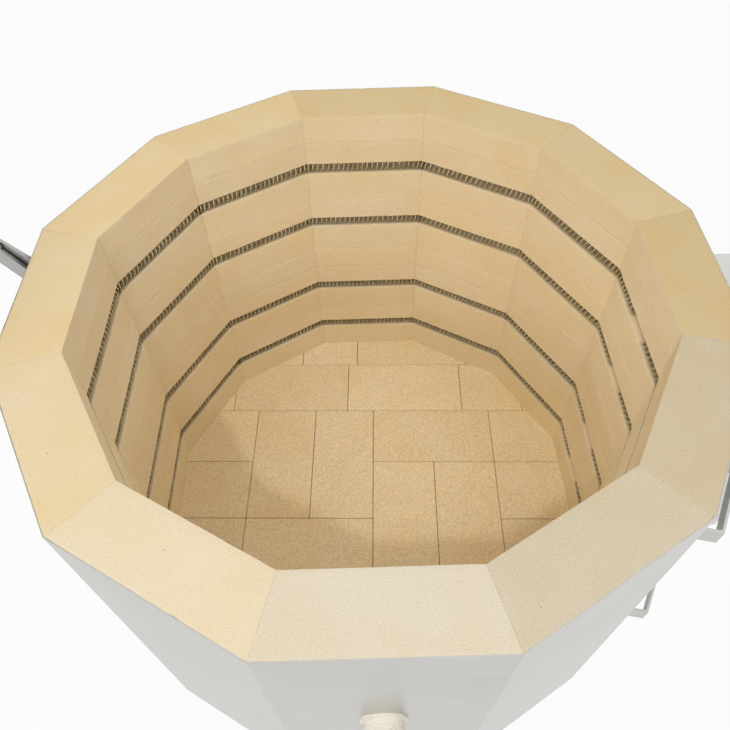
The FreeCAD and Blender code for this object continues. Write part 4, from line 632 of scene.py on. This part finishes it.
@dataclass
class BrickCourse:
    """One course of twelve mitred bricks laid round the chamber."""

    node: str
    foot: float
    height: float
    groove: float | None
    seed: int
    holes: tuple[Drilling, ...] = ()
    inner: float = 350.37 * MM
    outer: float = 426.57 * MM
    ease: float = 0.35 * MM
    joint: float = 0.02 * MM
    groove_radius: float = 9.5 * MM
    groove_points: int = 11
    outline_pitch: float = 8.0 * MM
    stations: int = 34
    chip_size: float = 9.0 * MM
    chip_start: float = 0.66
    chip_depth: float = 1.5 * MM
    fray_size: float = 3.0 * MM
    fray_depth: float = 0.125 * MM
    end_wear: float = 0.8
    end_fade: float = 2.5 * MM
    groove_fade: int = 3
    noise_step: float = 1.7
    crisp_from: float = 50
    # Darkening of the grooves: painted shade behind the coil, with some oxide stain.
    groove_painted_shade_and_stain: float = 0.45
    painted_shade_and_stain_start: float = 6.0 * MM
    painted_shade_and_stain_gap: float = 22.0 * MM
    tone: float = 0.0
    tone_spread: float = 0.02
    warmth: float = 0.45
    warmth_spread: float = 0.08
    # Painted light on the top face: tones and warmths that take the place of the brick's own there.
    top_painted_light_tones: tuple[float, ...] = ()
    top_painted_light_warmths: tuple[float, ...] = ()

    def corner(self, distance: float, height: float, start: float) -> np.ndarray:
        """A quarter of a circle round an eased edge, from a start angle in degrees, counter-clockwise."""
        way = np.radians(np.linspace(start, start + 90, QUARTER_POINTS))
        return np.stack([distance + self.ease * np.cos(way), height + self.ease * np.sin(way)], -1)

    def outline(self) -> tuple[np.ndarray, np.ndarray, np.ndarray]:
        """The brick's end as a closed outline of distance from the kiln's middle and height.

        It runs up the outside and down the inside, with a quarter circle of the eased radius at each edge
        and, in a grooved brick, a slot with a half round back. The points are then spaced evenly by length.

        Returns:
            k by 2 points, how much each point wears, and how deep in the groove it is, both from 0 to 1.
        """
        near, far = self.inner + self.ease, self.outer - self.ease
        low, high = self.foot + self.ease, self.foot + self.height - self.ease
        parts = [self.corner(near, low, 180), self.corner(far, low, 270), self.corner(far, high, 0),
                 self.corner(near, high, 90)]
        slots = [False] * len(parts)
        if self.groove is not None:
            back = np.radians(np.linspace(90, -90, self.groove_points))
            slot = np.stack([self.inner + self.groove_radius * (1 + np.cos(back)),
                             self.groove + self.groove_radius * np.sin(back)], -1)
            mouth = [[self.inner + self.painted_shade_and_stain_start, self.groove + self.groove_radius * way]
                     for way in (1, -1)]
            lip = self.groove_radius + self.ease
            parts += [self.corner(near, self.groove + lip, 180), np.concatenate([mouth[:1], slot, mouth[1:]]),
                      self.corner(near, self.groove - lip, 90)]
            slots += [False, True, False]
        depth = np.concatenate([np.full(len(part), float(slot)) for part, slot in zip(parts, slots)])
        corners, depth = (np.concatenate([values, values[:1]]) for values in (np.concatenate(parts), depth))
        length = np.append(0, np.cumsum(np.linalg.norm(np.diff(corners, axis=0), axis=1)))
        even = np.union1d(length, np.arange(0, length[-1], self.outline_pitch))[:-1]
        closed = np.stack([np.interp(even, length, corners[:, axis]) for axis in (0, 1)], -1)
        depth = np.interp(even, length, depth)
        return closed, (1 - depth) ** self.groove_fade, depth

    def brick_layers(self) -> dict[str, np.ndarray]:
        """Tone and warmth at each point of the twelve bricks.

        Each brick has its own; a groove is darkened wherever the element lies, as painted shade behind the
        coil with some oxide stain; and the top that the lid rests on has tones and warmths of its own, which
        are painted light.

        Returns:
            panels by rows by columns of each.
        """
        outline, _, depth = self.outline()
        side = self.flat_brick()[0][..., 1]
        # Painted shade with some oxide stain in each groove, left out on the control box's panel between the
        # element's two tails.
        shaded_and_stained = np.ones((PANELS, *side.shape)) * depth
        shaded_and_stained[Panel.BOX.number] *= np.abs(side) > self.painted_shade_and_stain_gap
        dice = np.random.default_rng(self.seed)
        tones = self.tone + (dice.random(PANELS) - 0.5) * 2 * self.tone_spread
        warmths = self.warmth + (dice.random(PANELS) - 0.5) * 2 * self.warmth_spread
        # The top face takes its own tones and warmths, which are painted light.
        top = np.clip((outline[:, 1] - self.foot - self.height) / self.ease + 1, 0, 1)
        layers = {}
        for name, own, above in (("tone", tones, self.top_painted_light_tones), ("warmth", warmths, self.top_painted_light_warmths)):
            above = np.array(above) if above else own
            layers[name] = (own[:, None] + (above - own)[:, None] * top)[:, None] + 0 * side
        # Darken the grooves: painted shade behind the coil, with some oxide stain.
        layers["tone"] -= self.groove_painted_shade_and_stain * shaded_and_stained
        return layers

    def flat_brick(self) -> tuple[np.ndarray, np.ndarray, np.ndarray]:
        """One brick before it is turned to its panel.

        A point of the outline at distance r lies at y = w * (r * tan(15 degrees) - joint) for w from -1 to
        1, and at both ends the outline is drawn in along a quarter circle of the eased radius.

        Returns:
            rows by columns by 3 points, the inward way at each point of the outline, and how much each point
            wears, from 0 to 1.
        """
        outline, wear, _ = self.outline()
        ahead = np.roll(outline, -1, axis=0) - np.roll(outline, 1, axis=0)
        ahead /= np.linalg.norm(ahead, axis=1, keepdims=True)
        inward = np.stack([-ahead[:, 1], ahead[:, 0]], -1)
        way = np.radians(np.linspace(0, 90, QUARTER_POINTS))
        shrink = self.ease * (1 - np.sin(way))
        back = self.ease * (1 - np.cos(way))
        middle = np.linspace(-1, 1, self.stations)[1:-1]
        share = np.concatenate([-np.ones(len(way)), middle, np.ones(len(way))])
        shrink = np.concatenate([shrink, np.zeros(len(middle)), shrink[::-1]])
        back = np.concatenate([back, np.full(len(middle), self.ease), back[::-1]])
        plane = outline[None] + inward[None] * shrink[:, None, None]
        half = plane[..., 0] * math.tan(HALF_TURN) - self.joint
        side = share[:, None] * (half - back[:, None])
        near_end = np.exp(-(half - np.abs(side)) / self.end_fade)
        return (np.stack([plane[..., 0], side, plane[..., 1]], -1), inward,
                np.maximum(wear[None, :], near_end * self.end_wear))

    def worn_bricks(self) -> np.ndarray:
        """All twelve bricks in their places, with faces and edges worn back by noise.

        Returns:
            panels by rows by columns by 3 points.
        """
        flat, inward, wear = self.flat_brick()
        panel = np.arange(PANELS)[:, None, None]
        apart = flat[None] + UP * self.noise_step * panel[..., None]
        chips = lattice_noise(apart, self.chip_size, self.seed) - self.chip_start
        loss = np.clip(chips, 0, 1) * self.chip_depth
        loss += (lattice_noise(apart, self.fray_size, self.seed + 1) - 0.5) * self.fray_depth
        drawn_in = inward[None, None] * (loss * wear)[..., None]
        return turned(flat[None, ..., 0] + drawn_in[..., 0], flat[..., 1], flat[..., 2] + drawn_in[..., 1],
                      panel * PANEL_TURN)

    def build(self) -> bpy.types.Object:
        """Join the whole bricks and the drilled ones into one piece.

        Returns:
            The course, one closed shell for each brick.
        """
        bricks = self.worn_bricks()
        shades = self.brick_layers()
        drilled = sorted({hole.panel.number for hole in self.holes})
        whole = [panel for panel in range(PANELS) if panel not in drilled]
        course = bmesh.new()
        for panels in (whole, *([panel] for panel in drilled)):
            layers = {name: values[panels] for name, values in shades.items()}
            group = tube_piece("bricks", bricks[panels], layers)
            if panels != whole:
                self.drill(group, panels[0])
            course.from_mesh(group.data)
            bpy.data.objects.remove(group)
        piece = new_piece(self.node + "_bricks", course)
        smooth_shading(piece, self.crisp_from)
        return piece

    def drill(self, brick: bpy.types.Object, panel: int) -> None:
        """Cut one panel's holes out of its brick.

        Args:
            brick: the brick on its own.
            panel: the number of its panel, counted from the control box's.
        """
        tools = [hole.cutter() for hole in self.holes if hole.panel.number == panel]
        for tool in tools:
            bore = brick.modifiers.new("bore", "BOOLEAN")
            bore.operation = "DIFFERENCE"
            bore.solver = "EXACT"
            bore.object = tool
        settle(brick)
        for tool in tools:
            bpy.data.objects.remove(tool)


@dataclass
class Chamber:
    """The brick chamber: five wall courses, the rim and the floor."""

    floor_top: float = 265.0 * MM
    middle: float = 541.2 * MM
    element_course: float = 114.3 * MM
    blank_course: float = 47.6 * MM
    groove_rise: float = 66.0 * MM
    bushing_side: float = 20.0 * MM
    bushing_hole: float = 4.65 * MM
    bore_start: float = 345.0 * MM
    peephole_rise: float = 30.0 * MM
    peephole_inside: float = 10.7 * MM
    peephole_outside: float = 16.8 * MM
    probe_rise: float = 207.0 * MM
    probe_hole: float = 4.15 * MM
    rim_tone: float = 0.04
    # Painted light on the rim's top, one brick at a time from the control box's panel: the tones are darker
    # on the right and front right, where less light falls, and the warmths are cooler towards the front as
    # painted cool light.
    rim_painted_light_tones: tuple[float, ...] = (-0.12, -0.06, -0.05, -0.05, 0.03, 0.06, 0.04, 0.03, 0.02, -0.07, -0.17,
                                    -0.19)
    rim_painted_light_warmths: tuple[float, ...] = (0.9, 0.8, 0.85, 0.9, 0.8, 0.75, 0.7, 0.6, 0.35, 0.1, 0.25, 0.45)

    def courses(self) -> list[BrickCourse]:
        """All six courses from the floor up, with their holes."""
        laid = []
        for ring, ring_foot in enumerate((self.floor_top, self.middle)):
            for step in range(2):
                foot = ring_foot + step * self.element_course
                row = foot + self.groove_rise
                holes = [Drilling(Panel.BOX, side, row, COIL_LINE, self.bushing_hole, self.bushing_hole)
                         for side in (-self.bushing_side, self.bushing_side)]
                if step == 0:
                    holes.append(Drilling(Panel.FRONT, 0.0, foot + self.peephole_rise, self.bore_start,
                                          self.peephole_inside, self.peephole_outside))
                elif ring == 0:
                    holes.append(Drilling(Panel.PROBE, 0.0, self.floor_top + self.probe_rise,
                                          self.bore_start, self.probe_hole, self.probe_hole))
                number = 3 * ring + step + 1
                laid.append(BrickCourse(f"wall_course_{number}", foot, self.element_course, row, number,
                                        tuple(holes)))
        top = 2 * self.element_course
        laid.append(BrickCourse("wall_course_3", self.floor_top + top, self.blank_course, None, seed=3))
        laid.append(BrickCourse("rim_course", self.middle + top, self.blank_course, None, seed=9,
                                tone=self.rim_tone, top_painted_light_tones=self.rim_painted_light_tones,
                                top_painted_light_warmths=self.rim_painted_light_warmths))
        return laid

    def build(self) -> None:
        """Lay the courses and ease the edges of the floor bricks."""
        for course in self.courses():
            seat(course.build(), Body.KILN, RIM_BRICK if course.top_painted_light_tones else BRICK, course.node)
        seat(EasedBricks("floor_bricks", seed=21).build(), Body.KILN, FLOOR_BRICK, "floor_bricks")


@dataclass
class EasedBricks:
    """A merged copy of a CAD node's bricks, with eased edges and a tone and warmth for each brick."""

    node: str
    seed: int
    tone_spread: float = 0.03
    warmth: float = 0.48
    warmth_spread: float = 0.16
    ease: float = 1.4 * MM
    merge: float = 0.01 * MM
    flat_within: float = 1.0

    def tone_shells(self, shape: bmesh.types.BMesh) -> None:
        """Give each brick a tone and a warmth, in the order of their first points.

        Args:
            shape: one shell for each brick.
        """
        tone, warmth = (shape.verts.layers.float.new(name) for name in ("tone", "warmth"))
        dice = np.random.default_rng(self.seed)
        done = set()
        for start in shape.verts:
            if start in done:
                continue
            lightness = (dice.random() - 0.5) * 2 * self.tone_spread
            straw = self.warmth + self.warmth_spread * dice.random()
            front = {start}
            while front:
                done |= front
                for vertex in front:
                    vertex[tone], vertex[warmth] = lightness, straw
                front = {edge.other_vert(vertex) for vertex in front for edge in vertex.link_edges} - done

    def build(self) -> bpy.types.Object:
        """Merge the CAD mesh into clean flat faces, tone the bricks and bevel their edges."""
        shape = bmesh.new()
        shape.from_mesh(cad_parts[self.node].data)
        bmesh.ops.remove_doubles(shape, verts=shape.verts, dist=self.merge)
        bmesh.ops.dissolve_limit(shape, angle_limit=math.radians(self.flat_within), verts=shape.verts,
                                 edges=shape.edges)
        self.tone_shells(shape)
        piece = new_piece(self.node + "_eased", shape)
        bevel = piece.modifiers.new("eased", "BEVEL")
        bevel.width = self.ease
        bevel.segments = 2
        bevel.limit_method = "ANGLE"
        settle(piece)
        return piece


# heating

@dataclass
class HeatingCoil:
    """One wound element: a helix laid in its groove round the chamber, with a tail at each end."""

    number: int
    row: float
    line: float = COIL_LINE
    corner: float = 30.0 * MM
    half_gap: float = 24.0 * MM
    coil_radius: float = 8.2 * MM
    wire: float = 2.0 * MM
    turns: int = 276
    steps: int = 16
    sides: int = 6
    ease_in: float = 3.5 * MM
    crowding: float = 0.28
    crowding_size: float = 22.0 * MM
    sway: float = 0.5 * MM
    sway_size: float = 60.0 * MM
    sway_seed: int = 40
    tail_bend: float = 4.0 * MM
    tail_bend_points: int = 7
    tail_end: float = 470.0 * MM
    untwist_points: int = 23
    crisp_from: float = 80

    @property
    def straight(self) -> float:
        """Length of the middle line's straight run on each panel."""
        return 2 * (self.line - self.corner) * math.tan(HALF_TURN)

    @property
    def period(self) -> float:
        """Length of a straight run and the corner after it."""
        return self.straight + self.corner * PANEL_TURN

    def middle_line(self, travel: np.ndarray) -> tuple[np.ndarray, np.ndarray]:
        """Points and outward ways of the coil's middle line.

        The line is a twelve-sided ring with rounded corners: each panel is a straight run followed by an arc
        of the corner's radius, and the travel is counted from the coil's first end.

        Args:
            travel: distances along the line.

        Returns:
            n by 3 points and n by 3 unit ways, both level.
        """
        place = travel + self.half_gap + self.straight / 2
        panel = np.floor(place / self.period)
        rest = place - panel * self.period
        start = panel * PANEL_TURN
        way = start + np.clip(rest - self.straight, 0, None) / self.corner
        level = 0 * travel
        hub = (self.line - self.corner) / math.cos(HALF_TURN)
        bend = turned(hub, 0.0, level, start + HALF_TURN) + turned(self.corner, 0.0, level, way)
        run = turned(self.line, rest - self.straight / 2, level, start)
        return np.where((rest < self.straight)[:, None], run, bend), turned(1.0, 0.0, level, way)

    def build(self) -> bpy.types.Object:
        """Wind the wire round the middle line.

        The point at travel s is the middle line plus the coil's radius times (outward * cos a + up * sin a),
        with a growing evenly except near the ends, where it slows to nothing so that the wire leaves straight
        at the back of the groove and bends into its tail.

        Returns:
            The element.
        """
        length = PANELS * self.period - 2 * self.half_gap
        travel = np.linspace(0, length, self.turns * self.steps + 1)
        drift = np.stack([travel, travel * 0 + self.number, travel * 0], -1)
        crowds = 1 + self.crowding * (lattice_noise(drift, self.crowding_size, self.number) - 0.5)
        pace = eased(np.clip(np.minimum(travel, length - travel) / self.ease_in, 0, 1)) * crowds
        angle = np.cumsum(pace)
        angle = ((angle - angle[0]) / (angle[-1] - angle[0]) * 2 * math.pi * self.turns)[:, None]
        middle, out = self.middle_line(travel)
        sway = (lattice_noise(drift, self.sway_size, self.number + self.sway_seed) - 0.5) * self.sway
        spoke = out * np.cos(angle) + UP * np.sin(angle)
        helix = middle + out * (sway * np.clip(pace, 0, 1))[:, None] + spoke * self.coil_radius
        bend = np.radians(np.linspace(0, 90, self.tail_bend_points))[1:]
        reach = np.append(self.line + self.coil_radius + self.tail_bend * (1 - np.cos(bend)), self.tail_end)
        side = np.append(self.half_gap - self.tail_bend * np.sin(bend), self.half_gap - self.tail_bend)
        tail = np.stack([reach, -side, 0 * reach], -1)
        line = np.concatenate([(tail * (1, -1, 1))[::-1], helix, tail]) + UP * self.row
        order = np.arange(len(spoke))
        hold = np.clip(np.minimum(order, order[::-1]) / self.untwist_points, 0, 1)[:, None]
        upright = np.tile(UP, (len(tail), 1))
        lean = np.concatenate([upright, UP * (1 - hold) + spoke * hold, upright])
        piece = swept(f"heating_coil_{self.number}", line, lean, circle(self.wire / 2, self.sides))
        smooth_shading(piece, self.crisp_from)
        return piece


@dataclass
class Heating:
    """The four elements, their bushings, connectors and leads."""

    rows: tuple[float, ...] = (331.0 * MM, 445.3 * MM, 607.2 * MM, 721.5 * MM)

    def build(self) -> None:
        """Wind each element in its groove."""
        for number, row in enumerate(self.rows, start=1):
            seat(HeatingCoil(number, row).build(), Body.KILN, WIRE, f"element_{number}")
        dress_nodes(PORCELAIN, "element_bushings")
        dress_nodes(SCREW_STEEL, "element_connectors")
        dress_nodes(SLEEVE, "element_leads")


# metalwork

class Shell:
    """Jackets, bands and what is screwed to them."""

    def build(self) -> None:
        """Dress the sheet metal, the clamps, the handles and the peepholes."""
        dress_nodes(JACKET, "jacket_lower", "jacket_upper", "floor_band")
        dress_nodes(PAN_STEEL, "floor_pan")
        dress_nodes(HINGE_STEEL, "jacket_clamp_lugs", "floor_band_clamp")
        dress_nodes(SCREW_STEEL, "jacket_clamp_screws", "handle_screws")
        dress_nodes(STRAP_STEEL, "lower_handles", "upper_handles")
        dress_nodes(PORCELAIN, "peephole_ferrules")
        dress_nodes(PLUG_CLAY, "peephole_plug_lower", "peephole_plug_upper")


class Stand:
    """The welded and bolted stand."""

    def build(self) -> None:
        """Dress the angle iron, the cross bars and the bolts."""
        dress_nodes(FRAME_PAINT, "stand_frame", "stand_legs", "stand_cross_bars")
        dress_nodes(BOLT_STEEL, "stand_bolts", "stand_nuts")


class Lid:
    """The lid, its band, its handle and its hinge."""

    def build(self) -> None:
        """Ease the lid's bricks and dress its metalwork."""
        seat(EasedBricks("lid_bricks", seed=33).build(), Body.LID, BRICK, "lid_bricks")
        dress_nodes(JACKET, "lid_band")
        dress_nodes(HINGE_STEEL, "lid_band_clamp", "hinge_bracket", "lid_hinge_leaf")
        dress_nodes(PIN_STEEL, "hinge_pin")
        dress_nodes(SCREW_STEEL, "hinge_screws", "leaf_screws", "lid_handle_screws")
        dress_nodes(STRAP_STEEL, "lid_handle")


@dataclass
class ControlBox:
    """The control box with its controller, switch and wiring."""

    mark_height: float = 0.25 * MM
    mark_root: float = 0.1 * MM
    arrow: float = 3.4 * MM

    def arrow_mark(self, key: str, points_up: bool) -> bpy.types.Object:
        """A thin raised triangle on a key's face.

        Args:
            key: the key's node.
            points_up: up for the higher setting, down for the lower.

        Returns:
            The mark.
        """
        low, high = (np.array(corner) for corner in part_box(key))
        middle = (low + high) / 2
        way = np.radians(np.array([90.0, 210.0, 330.0]) + (0 if points_up else 180))
        level = high[0] + np.array([[-self.mark_root], [self.mark_height]]) + 0 * way
        side, rise = (middle[axis] + self.arrow * part + 0 * level
                      for axis, part in ((1, np.cos(way)), (2, np.sin(way))))
        return tube_piece(f"{key}_mark", np.stack([level, side, rise], -1)[None])

    def build(self) -> None:
        """Dress the box from its sheet metal to its wiring."""
        dress_nodes(BOX_PAINT, "box_back_plate", "box_housing")
        dress_nodes(SCREW_STEEL, "box_screws")
        dress_nodes(BOLT_STEEL, "box_standoffs")
        dress_nodes(FACE_PAINT, "controller_face")
        dress_nodes(WINDOW, "display_window")
        dress_nodes(BOARD_LAMINATE, "controller_board")
        dress_nodes(KEY_RUBBER, "key_up", "key_down", "key_enter")
        dress_nodes(RELAY_PLASTIC, "switch_body", "relays")
        dress_nodes(ROCKER_PLASTIC, "switch_rocker")
        dress_nodes(BLOCK_PLASTIC, "terminal_blocks")
        dress_nodes(GLAND_NYLON, "cord_gland")
        dress_nodes(PORCELAIN, "thermocouple")
        dress_nodes(PROBE_SLEEVE, "thermocouple_lead")
        seat(self.arrow_mark("key_up", True), Body.UP_KEY, MARK)
        seat(self.arrow_mark("key_down", False), Body.DOWN_KEY, MARK)


# studio

@dataclass(frozen=True)
class SoftBox:
    """A round soft box that no camera sees, its size in metres and its power in watts."""

    name: str
    place: Triple
    size: float
    power: float
    aim: Triple = (0.0, 0.0, 0.6)
    colour: str = "FFFCF6"

    @classmethod
    def around(cls, name: str, turn: float, rise: float, size: float, power: float) -> "SoftBox":
        """A soft box at the lamps' usual distance from the kiln.

        Args:
            name: the lamp's name.
            turn: its direction from its aim, in degrees from +X.
            rise: its height over its aim, in degrees.
            size: its diameter in metres.
            power: its output in watts.

        Returns:
            The soft box.
        """
        way, up = math.radians(turn), math.radians(rise)
        level = LAMP_DISTANCE * math.cos(up)
        place = (level * math.cos(way), level * math.sin(way), cls.aim[2] + LAMP_DISTANCE * math.sin(up))
        return cls(name, place, size, power)

    def hang(self) -> None:
        """Put the lamp into the scene."""
        light = bpy.data.lights.new(self.name, "AREA")
        light.shape = "DISK"
        light.size = self.size
        light.energy = self.power
        light.color = linear(self.colour)[:3]
        holder = new_object(self.name, light)
        holder.location = self.place
        facing = Vector(self.aim) - Vector(self.place)
        holder.rotation_euler = facing.to_track_quat("-Z", "Y").to_euler()
        holder.visible_camera = False


@dataclass
class Studio:
    """A pale floor, soft lamps and the camera at the photo's viewing angle."""

    camera_place: Triple = (-0.0108, -0.5762, 1.4211)
    camera_tilt: float = 38.66
    camera_yaw: float = -0.14
    camera_roll: float = -1.58
    focal_pixels: float = 686.0
    principal: tuple[float, float] = (363.9, 342.3)
    sensor: float = 36.0
    clip: tuple[float, float] = (0.02, 60)
    floor_radii: Triple = (0.5 * MM, 6.0, 12.0)
    floor_sides: int = 64
    floor_drop: float = 0.5 * MM
    floor_glow: float = 0.92
    floor_white: float = 0.86
    sky_light: float = 0.59
    soft_boxes: tuple[SoftBox, ...] = (
        SoftBox.around("key", turn=252, rise=60, size=0.14, power=18),
        SoftBox.around("front", turn=250, rise=30, size=0.8, power=10.5),
        SoftBox.around("side", turn=235, rise=55, size=0.9, power=8.5),
        SoftBox.around("right", turn=330, rise=65, size=0.8, power=4.5),
        SoftBox("chamber", (0.0, 0.0, 0.84), size=0.4, power=0.34, aim=(0.0, 0.0, 0.0)))

    def camera(self) -> None:
        """Place the camera: yaw about up, then tilt, then roll, with a small shift for the crop."""
        lens = bpy.data.cameras.new("camera")
        lens.sensor_fit = "HORIZONTAL"
        lens.sensor_width = self.sensor
        lens.lens = self.sensor * self.focal_pixels / RENDER_WIDTH
        lens.shift_x = (RENDER_WIDTH / 2 - self.principal[0]) / RENDER_WIDTH
        lens.shift_y = (self.principal[1] - RENDER_HEIGHT / 2) / RENDER_WIDTH
        lens.clip_start, lens.clip_end = self.clip
        eye = new_object("camera", lens)
        turn = (Matrix.Rotation(math.radians(self.camera_yaw), 3, "Z")
                @ Matrix.Rotation(math.radians(self.camera_tilt), 3, "X")
                @ Matrix.Rotation(math.radians(self.camera_roll), 3, "Z"))
        eye.matrix_world = Matrix.Translation(self.camera_place) @ turn.to_4x4()
        bpy.context.scene.camera = eye

    def floor(self) -> None:
        """A level pale floor that looks white to the camera and keeps the kiln's shadow."""
        rings = circle(1.0, self.floor_sides) * np.array(self.floor_radii)[:, None, None]
        flat = np.concatenate([rings, 0 * rings[..., :1] - self.floor_drop], -1)
        plane = tube_piece("studio_floor", flat[None], far_end=False)
        sheet = NodeSheet(bpy.data.materials.new("matt_white_paper"))
        share = sheet.combined("MULTIPLY", sheet.unlit_rays(), self.floor_glow)
        matt = sheet.add("BsdfDiffuse", {"Color": (self.floor_white,) * 3 + (1,)})
        glow = sheet.add("Emission", {"Color": (1, 1, 1, 1), "Strength": 1.0})
        mix = sheet.add("MixShader", {0: share, 1: matt, 2: glow})
        sheet.add("OutputMaterial", {"Surface": mix})
        plane.data.materials.append(sheet.owner)

    def world(self) -> None:
        """White to the camera and to gloss, a plain soft light to the rest."""
        sheet = NodeSheet(bpy.data.worlds.new("studio"))
        level = sheet.spread(sheet.unlit_rays(), self.sky_light, 1.0)
        back = sheet.add("Background", {"Color": (1, 1, 1, 1), "Strength": level})
        sheet.add("OutputWorld", {"Surface": back})
        bpy.context.scene.world = sheet.owner

    def build(self) -> None:
        """Set up the floor, the light and the camera."""
        self.floor()
        self.world()
        for lamp in self.soft_boxes:
            lamp.hang()
        self.camera()
        bpy.context.scene.view_settings.view_transform = "Standard"


def main() -> None:
    logging.basicConfig(level=logging.INFO, format="%(name)s %(message)s")
    for part in (Chamber(), Heating(), Shell(), Stand(), Lid(), ControlBox(), Studio()):
        part.build()
        LOG.info("%s ready", type(part).__name__)


if __name__ == "__main__":
    main()
